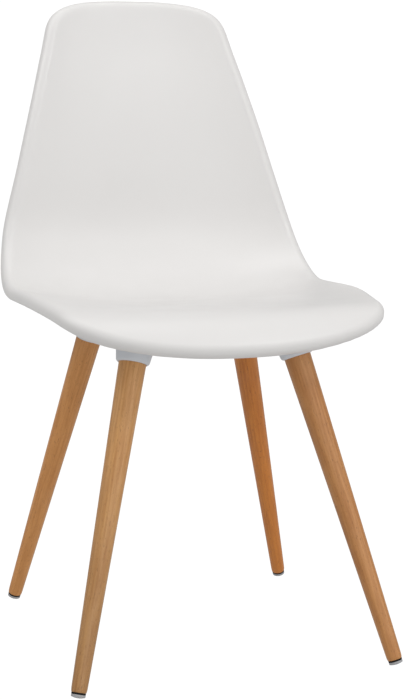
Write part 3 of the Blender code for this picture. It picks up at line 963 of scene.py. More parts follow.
def finish_tree(
    graph: Graph, geometry: object, material: object, result: bpy.types.NodeInputs
) -> None:
    """Ends a Geometry Nodes tree with Realize Instances and Set Material."""
    whole = graph.add("GeometryNodeRealizeInstances", {0: geometry})
    dressed = graph.add("GeometryNodeSetMaterial", {"Geometry": whole, "Material": material})
    graph.tree.links.new(dressed.outputs[0], result["Geometry"])


def make_turned_leg_tree() -> bpy.types.NodeTree:
    """Makes the tree for a straight-tapered turned leg along Z, its rim plane at height 0.

    Returns:
        A tree that places rings along the axis, closer at both ends, and gives each its radius.
    """
    graph, given, result = new_group(
        "turned_leg",
        "GeometryNodeTree",
        {
            "Length": (FLOAT, 0.4),
            "Spigot": (FLOAT, 0.02),
            "Foot Radius": (FLOAT, 0.01),
            "Rim Radius": (FLOAT, 0.017),
            "Edge": (FLOAT, 0.0008),
            "Foot Rounding": (FLOAT, 0.0065),
            "Foot Depth": (FLOAT, 0.0008),
            "Rings": (WHOLE, 96),
            "Sides": (WHOLE, 96),
            "Bolt Hole": (FLOAT, 0.004),
            "Bolt Depth": (FLOAT, 0.04),
            "Nail Hole": (FLOAT, 0.0012),
            "Nail Depth": (FLOAT, 0.018),
            "Material": (MATERIAL, None),
        },
        {"Geometry": GEOMETRY},
    )
    line = graph.add("GeometryNodeMeshLine", {"Count": given["Rings"], "Offset": (0.0, 0.0, 0.01)})
    index = graph.add("GeometryNodeInputIndex")
    last = graph.maths("SUBTRACT", given["Rings"], 1.0)
    turn = graph.maths("MULTIPLY", graph.maths("DIVIDE", index, last), math.pi)
    share = graph.maths("MULTIPLY", graph.maths("SUBTRACT", 1.0, graph.maths("COSINE", turn)), 0.5)
    whole = graph.maths("ADD", given["Length"], given["Spigot"])
    height = graph.maths("SUBTRACT", graph.maths("MULTIPLY", share, whole), given["Length"])
    point = graph.add("ShaderNodeCombineXYZ", {2: height})
    placed = graph.add("GeometryNodeSetPosition", {"Geometry": line, "Position": point})
    curve = graph.add("GeometryNodeMeshToCurve", {0: placed})
    z = graph.add("ShaderNodeSeparateXYZ", {0: graph.add("GeometryNodeInputPosition")}).outputs[2]
    above_foot = graph.maths("ADD", z, given["Length"])
    taper = graph.maths("MINIMUM", graph.maths("DIVIDE", above_foot, given["Length"]), 1.0)
    growth = graph.maths("SUBTRACT", given["Rim Radius"], given["Foot Radius"])
    radius = graph.maths("ADD", given["Foot Radius"], graph.maths("MULTIPLY", taper, growth))
    to_top = graph.maths("SUBTRACT", given["Spigot"], z)
    losses = []
    for from_end, reach, depth in (
        (to_top, given["Edge"], given["Edge"]),
        (above_foot, given["Foot Rounding"], given["Foot Depth"]),
    ):
        missing = graph.maths("MAXIMUM", graph.maths("SUBTRACT", reach, from_end), 0.0)
        missing = graph.maths("MINIMUM", graph.maths("DIVIDE", missing, reach), 1.0)
        squared = graph.maths("SUBTRACT", 1.0, graph.maths("MULTIPLY", missing, missing))
        left = graph.maths("SQRT", squared)
        losses.append(graph.maths("MULTIPLY", graph.maths("SUBTRACT", 1.0, left), depth))
    loss = graph.maths("ADD", *losses)
    narrowed = graph.maths("SUBTRACT", radius, loss)
    sized = graph.add("GeometryNodeSetCurveRadius", {"Curve": curve, "Radius": narrowed})
    round_section = {"Resolution": given["Sides"], "Radius": 1.0}
    ring = graph.add("GeometryNodeCurvePrimitiveCircle", round_section)
    radius_field = graph.add("GeometryNodeInputRadius")
    body = graph.add(
        "GeometryNodeCurveToMesh", {0: sized, 1: ring, "Scale": radius_field, "Fill Caps": True}
    )
    holes = []
    for reach, width, depth, direction in (
        ("Spigot", "Bolt Hole", "Bolt Depth", 1.0),
        ("Length", "Nail Hole", "Nail Depth", -1.0),
    ):
        spare = 0.002
        end = graph.maths("MULTIPLY", graph.maths("ADD", given[reach], spare), direction)
        if reach == "Spigot":
            start = graph.maths("MULTIPLY", given[depth], -1.0)
        else:
            start = graph.maths("SUBTRACT", given[depth], given[reach])
        middle = graph.maths("MULTIPLY", graph.maths("ADD", start, end), 0.5)
        long = graph.maths("ABSOLUTE", graph.maths("SUBTRACT", end, start))
        drill = graph.add(
            "GeometryNodeMeshCylinder", {"Vertices": 32, "Radius": given[width], "Depth": long}
        )
        offset = graph.add("ShaderNodeCombineXYZ", {2: middle})
        holes.append(graph.add("GeometryNodeTransform", {"Geometry": drill, "Translation": offset}))
    bored = graph.add("GeometryNodeMeshBoolean", {0: body}, operation="DIFFERENCE", solver="EXACT")
    for hole in holes:
        graph.tree.links.new(hole.outputs[0], bored.inputs["Mesh 2"])
    finish_tree(graph, bored, given["Material"], result)
    return graph.tree


def make_threaded_rod_tree() -> bpy.types.NodeTree:
    """Makes the tree for a rod with a screw thread at each end, along Z.

    Returns:
        A tree that winds a ridge round a fine cylinder by moving its points outwards.
    """
    graph, given, result = new_group(
        "threaded_rod",
        "GeometryNodeTree",
        {
            "Bottom": (FLOAT, 0.0),
            "Top": (FLOAT, 0.05),
            "Radius": (FLOAT, 0.004),
            "Ridge": (FLOAT, 0.0006),
            "Lower Pitch": (FLOAT, 0.002),
            "Upper Pitch": (FLOAT, 0.001),
            "Plain From": (FLOAT, 0.02),
            "Plain To": (FLOAT, 0.025),
            "Point": (FLOAT, 0.005),
            "Rows": (WHOLE, 200),
            "Sides": (WHOLE, 24),
            "Material": (MATERIAL, None),
        },
        {"Geometry": GEOMETRY},
    )
    long = graph.maths("SUBTRACT", given["Top"], given["Bottom"])
    rod = graph.add(
        "GeometryNodeMeshCylinder",
        {
            "Vertices": given["Sides"],
            "Side Segments": given["Rows"],
            "Radius": given["Radius"],
            "Depth": long,
        },
    )
    middle = graph.maths("MULTIPLY", graph.maths("ADD", given["Top"], given["Bottom"]), 0.5)
    offset = graph.add("ShaderNodeCombineXYZ", {2: middle})
    rod = graph.add("GeometryNodeTransform", {"Geometry": rod, "Translation": offset})
    place = graph.add("ShaderNodeSeparateXYZ", {0: graph.add("GeometryNodeInputPosition")}).outputs
    around = graph.maths("DIVIDE", graph.maths("ARCTAN2", place[1], place[0]), math.tau)
    ridges = []
    for pitch in ("Lower Pitch", "Upper Pitch"):
        phase = graph.maths("SUBTRACT", graph.maths("DIVIDE", place[2], given[pitch]), around)
        ridges.append(graph.maths("PINGPONG", phase, 0.5))
    above = graph.maths("GREATER_THAN", place[2], given["Plain To"])
    below = graph.maths("LESS_THAN", place[2], given["Plain From"])
    height = graph.maths(
        "ADD",
        graph.maths("MULTIPLY", graph.maths("MULTIPLY", ridges[0], 2.0), below),
        graph.maths("MULTIPLY", graph.maths("MULTIPLY", ridges[1], 2.0), above),
    )
    plain = graph.maths("SUBTRACT", 1.0, graph.maths("ADD", above, below))
    depth = graph.maths("SUBTRACT", 1.0, graph.maths("ADD", height, plain))
    cutting = graph.maths("MULTIPLY", depth, given["Ridge"])
    shape = graph.maths("SUBTRACT", given["Radius"], cutting)
    above_tip = graph.maths("SUBTRACT", place[2], given["Bottom"])
    tip_share = graph.maths("MINIMUM", graph.maths("DIVIDE", above_tip, given["Point"]), 1.0)
    tip_share = graph.maths("ADD", graph.maths("MULTIPLY", tip_share, 0.75), 0.25)
    scale = graph.maths("DIVIDE", graph.maths("MULTIPLY", shape, tip_share), given["Radius"])
    x, y = (graph.maths("MULTIPLY", place[i], scale) for i in (0, 1))
    point = graph.add("ShaderNodeCombineXYZ", {0: x, 1: y, 2: place[2]})
    cut = graph.add("GeometryNodeSetPosition", {"Geometry": rod, "Position": point})
    finish_tree(graph, cut, given["Material"], result)
    return graph.tree


def make_screw_set_tree() -> bpy.types.NodeTree:
    """Makes the tree for a set of upward screws, one on each point of the mesh it starts from.

    Returns:
        A tree that cuts a cross in the head, and turns each screw by a seeded random angle.
    """
    graph, given, result = new_group(
        "screw_set",
        "GeometryNodeTree",
        {
            "Geometry": (GEOMETRY, None),
            "Screw": ("NodeSocketObject", None),
            "Head Height": (FLOAT, 0.0026),
            "Cross Width": (FLOAT, 0.0008),
            "Cross Length": (FLOAT, 0.0046),
            "Cross Depth": (FLOAT, 0.0013),
            "Seed": (WHOLE, 7),
            "Material": (MATERIAL, None),
        },
        {"Geometry": GEOMETRY},
    )
    blank = graph.add("GeometryNodeObjectInfo", {"Object": given["Screw"]}).outputs["Geometry"]
    deep = graph.maths("MULTIPLY", given["Cross Depth"], 2.0)
    below = graph.maths("MULTIPLY", given["Head Height"], -1.0)
    low = graph.add("ShaderNodeCombineXYZ", {2: below})
    bars = []
    for across, along in (("Cross Width", "Cross Length"), ("Cross Length", "Cross Width")):
        size = graph.add("ShaderNodeCombineXYZ", {0: given[across], 1: given[along], 2: deep})
        bar = graph.add("GeometryNodeMeshCube", {"Size": size})
        bars.append(graph.add("GeometryNodeTransform", {"Geometry": bar, "Translation": low}))
    recessed = graph.add(
        "GeometryNodeMeshBoolean", {0: blank}, operation="DIFFERENCE", solver="EXACT"
    )
    for bar in bars:
        graph.tree.links.new(bar.outputs[0], recessed.inputs["Mesh 2"])
    turn_range = {"Seed": given["Seed"], 2: 0.0, 3: math.tau}
    turn = graph.add("FunctionNodeRandomValue", turn_range, data_type="FLOAT")
    angle = graph.add("ShaderNodeCombineXYZ", {2: turn.outputs[1]})
    rotation = graph.add("FunctionNodeEulerToRotation", {0: angle})
    copies = graph.add(
        "GeometryNodeInstanceOnPoints",
        {"Points": given["Geometry"], "Instance": recessed, "Rotation": rotation},
    )
    finish_tree(graph, copies, given["Material"], result)
    return graph.tree


# The seat shell


@dataclass
class SeatShell:
    """One-piece moulded seat and back, on a centre line of arcs with a width at each station."""

    start: tuple[float, float] = (-0.255, 0.41765)
    start_angle: float = 61.5
    arcs: tuple[tuple[float, float], ...] = (
        (0.0775, -3.75),
        (0.2400, -1.75),
        (0.1930, 84.0),
        (0.2145, 73.0),
        (0.0815, 79.0),
    )
    thickness: float = 0.004
    stations: tuple[tuple[float, float, float], ...] = (
        (0.000, 0.1934, -0.0153),
        (0.078, 0.1983, 0.0015),
        (0.210, 0.2118, 0.0169),
        (0.347, 0.2123, 0.0200),
        (0.462, 0.1999, 0.0245),
        (0.576, 0.1708, 0.0210),
        (0.703, 0.1364, 0.0170),
        (0.760, 0.1217, 0.0147),
        (0.807, 0.1141, 0.0125),
    )
    side_lift_power: float = 2.9
    front_corner: tuple[float, float] = (0.092, 2.39)
    top_corner: tuple[float, float] = (0.0613, 5.2)
    top_arch: float = 0.0097
    rim_radius: float = 0.011
    rim_skirt: float = 0.0060
    rim_steps: int = 9
    lip_steps: int = 5
    rows: int = 128
    half_columns: int = 44
    samples: int = 120
    ease: int = 7
    station_samples: int = 405
    station_ease: int = 9
    ring_radius: float = 0.0455
    ring_wall: float = 0.0025
    boss_radius: float = 0.0065
    boss_root: float = 0.002
    hole_radius: float = 0.0023

    @property
    def length(self) -> float:
        """Length of the centre line."""
        return self.stations[-1][0]

    def centre_line(self) -> tuple[np.ndarray, np.ndarray, np.ndarray, np.ndarray]:
        """Works out places along the centre line, with Y, Z and direction at each."""
        turns = [self.start_angle] + [end for _, end in self.arcs]
        knots = np.concatenate([[0.0], np.cumsum([length for length, _ in self.arcs])])
        places = np.linspace(0.0, knots[-1], self.samples)
        angles = eased(np.radians(np.interp(places, knots, turns)), self.ease)
        step = places[1]
        forward = (np.cos(angles[1:]) + np.cos(angles[:-1])) / 2 * step
        upward = (np.sin(angles[1:]) + np.sin(angles[:-1])) / 2 * step
        y = self.start[0] + np.concatenate([[0.0], np.cumsum(forward)])
        z = self.start[1] + np.concatenate([[0.0], np.cumsum(upward)])
        return places, y, z, angles

    def station_value(self, column: int, along: np.ndarray) -> np.ndarray:
        """Reads the half width or the side lift between stations.

        Args:
            column: 1 for the half width, 2 for the lift of the sides.
            along: Places along the centre line.

        Returns:
            The value at each place.
        """
        stations = np.array(self.stations)
        at = np.linspace(0.0, self.length, self.station_samples)
        values = smooth_through(stations[:, 0], stations[:, column], at)
        return np.interp(along, at, eased(eased(values, self.station_ease), self.station_ease))

    def points(self, across: np.ndarray, along: np.ndarray) -> np.ndarray:
        """Places points on the sitter's side of the shell.

        Args:
            across: -1 to 1 between the shell's sides.
            along: Metres along the centre line.

        Returns:
            The points.
        """
        places, y, z, angles = self.centre_line()
        lift = self.station_value(2, along) * np.abs(across) ** self.side_lift_power
        angle = np.interp(along, places, angles)
        return np.stack(
            [
                self.station_value(1, along) * across,
                np.interp(along, places, y) - np.sin(angle) * lift,
                np.interp(along, places, z) + np.cos(angle) * lift,
            ],
            axis=-1,
        )

    def normals(self, across: np.ndarray, along: np.ndarray) -> np.ndarray:
        """Unit normals towards the sitter at the same places as points."""
        nudge = 0.002
        sideways = self.points(across + nudge, along) - self.points(across - nudge, along)
        onward = self.points(across, along + nudge) - self.points(across, along - nudge)
        return unit(np.cross(sideways, onward))

    def grid(self) -> tuple[np.ndarray, np.ndarray]:
        """Rows of (across, along) that fill the shell's rounded outline."""
        quarter = np.sin(np.linspace(0, math.pi / 2, self.half_columns + 1)) ** 0.8
        across = np.concatenate([-quarter[:0:-1], quarter])
        front = rounded_end(across, *self.front_corner)
        top = self.length - self.top_arch * across**2 - rounded_end(across, *self.top_corner)
        share = np.linspace(0, 1, self.rows + 1)[:, None]
        along = front + (top - front) * share
        return np.broadcast_to(across, along.shape), along

    def rim_section(self) -> Profile:
        """Cross-section of the rolled edge, as (outwards, away from the sitter) pairs."""
        outer = [
            (self.rim_radius * math.sin(a), self.rim_radius * (1 - math.cos(a)))
            for a in np.linspace(0, math.pi / 2, self.rim_steps + 1)[1:]
        ]
        inside = self.rim_radius - self.thickness
        inner = [
            (inside * math.sin(a), self.rim_radius - inside * math.cos(a))
            for a in np.linspace(math.pi / 2, 0, self.rim_steps + 1)[:-1]
        ]
        half = self.thickness / 2
        middle = self.rim_radius - half
        low = self.rim_radius + self.rim_skirt - half
        lip = [
            (middle + half * math.cos(a), low + half * math.sin(a))
            for a in np.linspace(0, math.pi, self.lip_steps + 1)
        ]
        return outer + lip + inner

    def bare(self) -> bmesh.types.BMesh:
        """Builds two sheets, joined round the outline by the rolled edge."""
        across, along = self.grid()
        points = self.points(across, along)
        normals = self.normals(across, along)
        builder = bmesh.new()
        sheets = []
        for depth in (0.0, self.thickness):
            placed = (points - normals * depth).reshape(-1, 3)
            sheet = np.array([builder.verts.new(p) for p in placed], dtype=object)
            sheets.append(sheet.reshape(across.shape))
        for sheet in sheets:
            for i in range(sheet.shape[0] - 1):
                for j in range(sheet.shape[1] - 1):
                    corners = (sheet[i, j], sheet[i, j + 1], sheet[i + 1, j + 1], sheet[i + 1, j])
                    builder.faces.new(corners)
        edge, edge_normals = border(points), border(normals)
        tangents = unit(np.roll(edge, -1, axis=0) - np.roll(edge, 1, axis=0))
        outwards = unit(np.cross(tangents, edge_normals))
        rings = [border(sheets[0])]
        for out, back in self.rim_section():
            ring = edge + outwards * out - edge_normals * back
            rings.append([builder.verts.new(p) for p in ring])
        rings.append(border(sheets[1]))
        for first, second in zip(rings, rings[1:]):
            for i in range(len(first)):
                j = (i + 1) % len(first)
                builder.faces.new((first[i], first[j], second[j], second[i]))
        bmesh.ops.recalc_face_normals(builder, faces=builder.faces)
        return builder

    def build(self, under: "Undercarriage", finishes: Finishes) -> None:
        """Builds the shell with its rings and bosses.

        Args:
            under: What is fastened below it.
            finishes: The chair's materials.
        """
        bare = self.bare()
        tree = BVHTree.FromBMesh(bare)
        bottom = under.boss_bottom

        def inside_wall(x: float, y: float) -> float:
            """Height just inside the shell's wall over a place."""
            hit = tree.ray_cast(Vector((x, y, bottom - 0.05)), UP)[0]
            return hit.z + self.boss_root

        bosses, holes, rings = bmesh.new(), bmesh.new(), bmesh.new()
        for x, y in under.screw_places():
            upright_cylinder(bosses, x, y, bottom, inside_wall, self.boss_radius, 40)
            top = level(inside_wall(x, y) - self.boss_root * 0.75)
            upright_cylinder(holes, x, y, bottom - OVERSHOOT, top, self.hole_radius, 24)
        edge = self.ring_wall * 0.3
        outer, inner = self.ring_radius, self.ring_radius - self.ring_wall
        section = [
            (outer, bottom + edge),
            (outer - edge, bottom),
            (inner + edge, bottom),
            (inner, bottom + edge),
        ]
        for corner in CORNERS:
            pad = under.pad(corner)
            upright_wall(rings, pad.x, pad.y, section, inside_wall, 120)
        mesh = shaped(
            mesh_from("shell", bare),
            joined=[mesh_from("rings", rings), mesh_from("bosses", bosses)],
            cut=[mesh_from("boss_holes", holes)],
            sharp=42.0,
        )
        fit_inside(mesh, "seat_shell")
        material = finishes.wear(finishes.shell)
        place_piece("moulded_shell", mesh, ["seat_shell"], material)


def eased(values: np.ndarray, width: int) -> np.ndarray:
    """Averages each value with its neighbours, over an odd number of them."""
    padded = np.pad(values, width // 2, mode="edge")
    return np.convolve(padded, np.full(width, 1.0 / width), mode="valid")


def smooth_through(places: np.ndarray, values: np.ndarray, at: np.ndarray) -> np.ndarray:
    """Reads a cubic through the stations that never overshoots them.

    Args:
        places: Where the stations are.
        values: The value at each.
        at: Where to read it.

    Returns:
        The values there.
    """
    step = np.diff(places)
    rise = np.diff(values) / step
    slope = np.concatenate([rise[:1], np.zeros(len(rise) - 1), rise[-1:]])
    before = 2 * step[1:] + step[:-1]
    after = step[1:] + 2 * step[:-1]
    for i in np.flatnonzero(rise[:-1] * rise[1:] > 0):
        slope[i + 1] = (before[i] + after[i]) / (before[i] / rise[i] + after[i] / rise[i + 1])
    i = np.clip(np.searchsorted(places, at, side="right") - 1, 0, len(step) - 1)
    h = step[i]
    t = (at - places[i]) / h
    return (
        (1 + 2 * t) * (1 - t) ** 2 * values[i]
        + t * (1 - t) ** 2 * h * slope[i]
        + t**2 * (3 - 2 * t) * values[i + 1]
        + t**2 * (t - 1) * h * slope[i + 1]
    )


def unit(vectors: np.ndarray) -> np.ndarray:
    """Scales vectors to length 1."""
    return vectors / np.linalg.norm(vectors, axis=-1, keepdims=True)


def rounded_end(across: np.ndarray, length: float, power: float) -> np.ndarray:
    """How far the shell's end falls back at each place across, for rounded corners."""
    return length * (1 - np.clip(1 - np.abs(across) ** power, 0, 1) ** (1 / power))


def border(rows: np.ndarray) -> np.ndarray:
    """The grid's outermost entries, in order round the outline."""
    return np.concatenate([rows[0, :-1], rows[:-1, -1], rows[-1, :0:-1], rows[:0:-1, 0]])


# What is under the shell


@dataclass
class Undercarriage:
    """Four legs with all that is on their axes, the cross brace and the screws."""

    gap: float = 0.0002
    middle_y: float = -0.035
    leg_length: float = 0.4018
    foot_radius: float = 0.00975
    end_radius: float = 0.0089
    end_rounding: float = 0.0065
    rim_radius: float = 0.01725
    front_foot: tuple[float, float] = (0.2041, 0.2167)
    rear_foot: tuple[float, float] = (0.2022, 0.2114)
    front_lean: tuple[float, float] = (0.2535, 0.2774)
    rear_lean: tuple[float, float] = (0.2411, 0.2487)
    spigot: float = 0.0215
    leg_edge: float = 0.0007
    brace_thickness: float = 0.0025
    flange_thickness: float = 0.005
    flange_radius: float = 0.046
    flange_edge: float = 0.0008
    socket_radius: float = 0.0214
    socket_edge: float = 0.0042
    socket_flare: float = 9.0
    socket_height: float = 0.060
    bore_radius: float = 0.01765
    bore_depth: float = 0.022
    bore_floor: float = 0.007
    pocket_radius: float = 0.0115
    insert_flange: tuple[float, float] = (0.011, 0.002)
    insert_barrel: float = 0.0052
    bolt_radius: float = 0.0039
    bolt_wood_length: float = 0.040
    screw_shank: float = 0.0020
    screw_length: float = 0.016
    screw_head: tuple[float, float] = (0.0042, 0.0026)
    screw_hole: float = 0.0023
    arm_width: float = 0.036
    pad_radius: float = 0.0455
    rib_height: float = 0.011
    rib_thickness: float = 0.0025
    rib_inset: float = 0.001
    rib_clearance: float = 0.003
    cushion_thickness: float = 0.0019
    glide_radius: float = 0.0088
    glide_wall: float = 0.0029
    glide_dome: float = 0.0017
    glide_flat: float = 0.00015
    nail_radius: float = 0.0011
    nail_head: tuple[float, float] = (0.0030, 0.0008)
    nail_length: float = 0.018
    sides: int = 72
    bore_sides: int = 60
    grain_step: Vector = field(default_factory=lambda: Vector((0.11, 0.07, 0.5)))

    @property
    def flange_top(self) -> float:
        """Height of the socket flanges' upper faces."""
        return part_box(f"leg_socket_{CORNERS[0].label}")[1].z

    @property
    def brace_top(self) -> float:
        """Height of the brace's upper face."""
        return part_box("cross_brace")[1].z

    @property
    def boss_bottom(self) -> float:
        """Height of the lower faces of the shell's bosses."""
        return self.brace_top + self.gap

    @property
    def dome_sphere(self) -> float:
        """Radius of the sphere that the glide's dome is a cap of."""
        return (self.glide_radius**2 + self.glide_dome**2) / (2 * self.glide_dome)

    @property
    def glide_top(self) -> float:
        """Height of the glide base's upper face, on a leg's axis."""
        return -self.leg_length - self.gap - self.cushion_thickness - self.gap

    def pad(self, corner: Corner) -> Vector:
        """Middle of a socket flange's upper face."""
        low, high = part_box(f"leg_socket_{corner.label}")
        return Vector(((low.x + high.x) / 2, (low.y + high.y) / 2, high.z))

    def axis(self, corner: Corner) -> Matrix:
        """Works out the frame on a leg's axis, from where its foot is and how it leans.

        Args:
            corner: The leg's corner.

        Returns:
            A matrix with its origin at the socket's rim and +Z up the leg.
        """
        at_front = corner.end is End.FRONT
        spread = self.front_foot if at_front else self.rear_foot
        lean = self.front_lean if at_front else self.rear_lean
        across, along = corner.side.value, corner.end.value
        up = Vector((-across * lean[0], -along * lean[1], 1.0)).normalized()
        stack = self.leg_length + self.glide_top - self.glide_wall - self.glide_dome
        height = up.z * (-stack - self.dome_sphere) + self.dome_sphere - self.glide_flat
        foot = Vector((across * spread[0], self.middle_y + along * spread[1], height))
        sideways = up.cross(UP).normalized()
        turn = Matrix((sideways, up.cross(sideways), up)).transposed()
        return Matrix.Translation(foot + up * self.leg_length) @ turn.to_4x4()

    def screw_places(self, corner: Corner | None = None) -> list[tuple[float, float]]:
        """(x, y) of the screws at one corner, or of all of them."""
        places = []
        for node in sorted(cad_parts):
            if node.startswith(f"socket_screw_{corner.label if corner else ''}"):
                middle = (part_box(node)[0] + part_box(node)[1]) / 2
                places.append((middle.x, middle.y))
        return places

    def screw_holes(self, corner: Corner | None, bottom: float, top: float) -> bpy.types.Mesh:
        """Drills for the screws at one corner, or for all, through what is between two heights."""
        holes = bmesh.new()
        low, high = bottom - OVERSHOOT, level(top + OVERSHOOT)
        for x, y in self.screw_places(corner):
            upright_cylinder(holes, x, y, low, high, self.screw_hole)
        return mesh_from("screw_holes", holes)

    def build(self, finishes: Finishes) -> None:
        """Builds every piece under the shell."""
        trees = {
            "leg": make_turned_leg_tree(),
            "rod": make_threaded_rod_tree(),
            "screws": make_screw_set_tree(),
        }
        for number, corner in enumerate(CORNERS):
            axis = self.axis(corner)
            self.build_leg(corner, axis, number, trees["leg"], finishes)
            self.build_socket(corner, axis, finishes)
            self.build_bolt(corner, axis, trees["rod"], finishes)
            self.build_turned_pieces(corner, axis, finishes)
        self.build_brace(finishes)
        self.build_screws(trees, finishes)

    def build_leg(
        self,
        corner: Corner,
        axis: Matrix,
        number: int,
        tree: bpy.types.NodeTree,
        finishes: Finishes,
    ) -> None:
        """Turns one leg, with its own stretch of grain.

        Args:
            corner: The leg's corner.
            axis: The frame on its axis.
            number: Which leg it is, so that no two have the same grain.
            tree: The turned leg's tree.
            finishes: The chair's materials.
        """
        material = finishes.wear(finishes.beech(corner))
        values = {
            "Length": self.leg_length,
            "Spigot": self.spigot,
            "Foot Radius": self.foot_radius,
            "Rim Radius": self.rim_radius,
            "Edge": self.leg_edge,
            "Foot Rounding": self.end_rounding,
            "Foot Depth": self.foot_radius - self.end_radius,
            "Bolt Hole": self.bolt_radius + HOLE_PLAY,
            "Bolt Depth": self.bolt_wood_length + HOLE_SPARE,
            "Nail Hole": self.nail_radius + FINE_PLAY,
            "Nail Depth": self.nail_length,
            "Material": material,
        }
        mesh = run_tree(tree, values)
        places = np.empty(len(mesh.vertices) * 3, np.float32)
        mesh.vertices.foreach_get("co", places)
        places = places.reshape(-1, 3)
        # The height attribute runs from 0 at the foot to 1 at the top; the beech uses it to paint
        # light and shade along the leg.
        height = mesh.attributes.new("height", "FLOAT", "POINT")
        height.data.foreach_set("value", 1.0 + places[:, 2] / self.leg_length)
        grain = mesh.attributes.new("grain", "FLOAT_VECTOR", "POINT")
        places = places + np.array(self.grain_step * (number + 1), np.float32)
        grain.data.foreach_set("vector", places.ravel())
        mesh.transform(axis)
        label = corner.label
        place_piece(f"turned_leg_{label}", mesh, [f"leg_{label}"], material)

    def build_socket(self, corner: Corner, axis: Matrix, finishes: Finishes) -> None:
        """Builds a socket: a flared cone under a level flange, bored for the leg and the insert."""
        flare = math.radians(self.socket_flare)
        centre = (self.socket_radius - self.socket_edge, self.socket_edge)
        edge = arc(centre, self.socket_edge, -90, -self.socket_flare, 8)
        top_radius = edge[-1][0] + (self.socket_height - edge[-1][1]) * math.tan(flare)
        cone = [(0, 0), *edge, (top_radius, self.socket_height), (0, self.socket_height)]
        lip = 0.0006
        pocket = self.bore_depth + self.bore_floor
        barrel = self.insert_barrel + HOLE_PLAY
        bore = [
            (0, -OVERSHOOT),
            (self.bore_radius + lip + OVERSHOOT, -OVERSHOOT),
            (self.bore_radius, lip),
            (self.bore_radius, self.bore_depth),
            (barrel, self.bore_depth),
            (barrel, pocket),
            (self.pocket_radius, pocket),
            (self.pocket_radius, self.socket_height + OVERSHOOT),
            (0, self.socket_height + OVERSHOOT),
        ]
        pad = self.pad(corner)
        low = self.flange_top - self.flange_thickness
        outer = self.flange_radius
        disc = [
            (0, low),
            (outer - self.flange_edge, low),
            (outer, low + self.flange_edge),
            (outer, self.flange_top + OVERSHOOT),
            (0, self.flange_top + OVERSHOOT),
        ]
        flange = mesh_from("flange", turned(softened(disc, self.flange_edge / 2), 112))
        flange.transform(Matrix.Translation((pad.x, pad.y, 0)))
        reach = Vector((outer * 2, outer * 2, 0))
        slab = box_builder(pad - reach, pad + reach + UP * 0.05)
        holes = self.screw_holes(corner, low, self.flange_top)
        body = mesh_from("cone", turned(cone, self.sides))
        bored = mesh_from("bore", turned(bore, self.bore_sides))
        body.transform(axis)
        bored.transform(axis)
        mesh = shaped(
            body,
            joined=[flange],
            cut=[mesh_from("slab", slab), bored, holes],
        )
        fit_inside(mesh, f"leg_socket_{corner.label}")
        place_piece(
            f"socket_cone_{corner.label}",
            mesh,
            [f"leg_socket_{corner.label}"],
            finishes.wear(finishes.socket),
        )

    def build_bolt(
        self, corner: Corner, axis: Matrix, tree: bpy.types.NodeTree, finishes: Finishes
    ) -> None:
        """Builds a hanger bolt: wood thread below, machine thread above."""
        material = finishes.wear(finishes.steel)
        values = {
            "Bottom": -self.bolt_wood_length,
            "Top": self.bore_depth + self.bore_floor + self.insert_flange[1] + 0.003,
            "Radius": self.bolt_radius,
            "Ridge": 0.0006,
            "Lower Pitch": 0.0028,
            "Upper Pitch": 0.00125,
            "Plain From": self.spigot - 0.012,
            "Plain To": self.spigot - 0.006,
            "Point": 0.004,
            "Rows": 300,
            "Sides": 28,
            "Material": material,
        }
        mesh = run_tree(tree, values)
        mesh.transform(axis)
        label = corner.label
        place_piece(f"bolt_{label}", mesh, [f"hanger_bolt_{label}"], material)

    def insert_profile(self) -> Profile:
        """Section of the flanged nut in a socket."""
        seat = self.bore_depth + self.bore_floor + self.gap
        flange_radius, flange_height = self.insert_flange
        thread = self.bolt_radius + FINE_PLAY
        foot = self.bore_depth + HOLE_SPARE
        ring = [
            (thread, seat + flange_height / 2),
            (thread, foot),
            (self.insert_barrel, foot),
            (self.insert_barrel, seat),
            (flange_radius, seat),
            (flange_radius, seat + flange_height),
            (thread, seat + flange_height),
            (thread, seat + flange_height / 2),
        ]
        return softened(ring, 0.0003)[:-1]

    def cushion_profile(self) -> Profile:
        """Section of the rubber ring between a leg and its glide."""
        top = -self.leg_length - self.gap
        bottom = top - self.cushion_thickness
        hole = self.nail_radius + FINE_PLAY
        middle = (top + bottom) / 2
        ring = [
            (hole, middle),
            (hole, bottom),
            (self.end_radius, bottom),
            (self.end_radius, top),
            (hole, top),
            (hole, middle),
        ]
        return softened(ring, 0.0004)[:-1]

    def glide_profile(self) -> Profile:
        """Section of the domed glide, with its pocket for the nail's head."""
        top = self.glide_top
        sphere = self.dome_sphere
        apex = top - self.glide_wall - self.glide_dome
        half_angle = math.degrees(math.asin(self.glide_radius / sphere))
        dome = arc((0, apex + sphere), sphere, -90, -90 + half_angle, 14)
        pocket = self.nail_head[0] + FINE_PLAY
        floor = top - self.nail_head[1] - 2 * FINE_PLAY
        upper = [
            dome[-1],
            (self.glide_radius, top),
            (pocket, top),
            (pocket, floor),
            (0, floor),
        ]
        return [(0, apex)] + dome[1:-1] + softened(upper, 0.0003)

    def nail_profile(self) -> Profile:
        """Section of the nail through the glide and the cushion into the leg."""
        head_radius, head_height = self.nail_head
        head_top = self.glide_top - FINE_PLAY
        low = head_top - head_height
        tip = -self.leg_length + self.nail_length - HOLE_SPARE
        nail = [
            (0, low),
            (head_radius, low),
            (head_radius, head_top),
            (self.nail_radius, head_top),
            (self.nail_radius, tip - 0.003),
            (0, tip),
        ]
        return softened(nail, 0.0002)

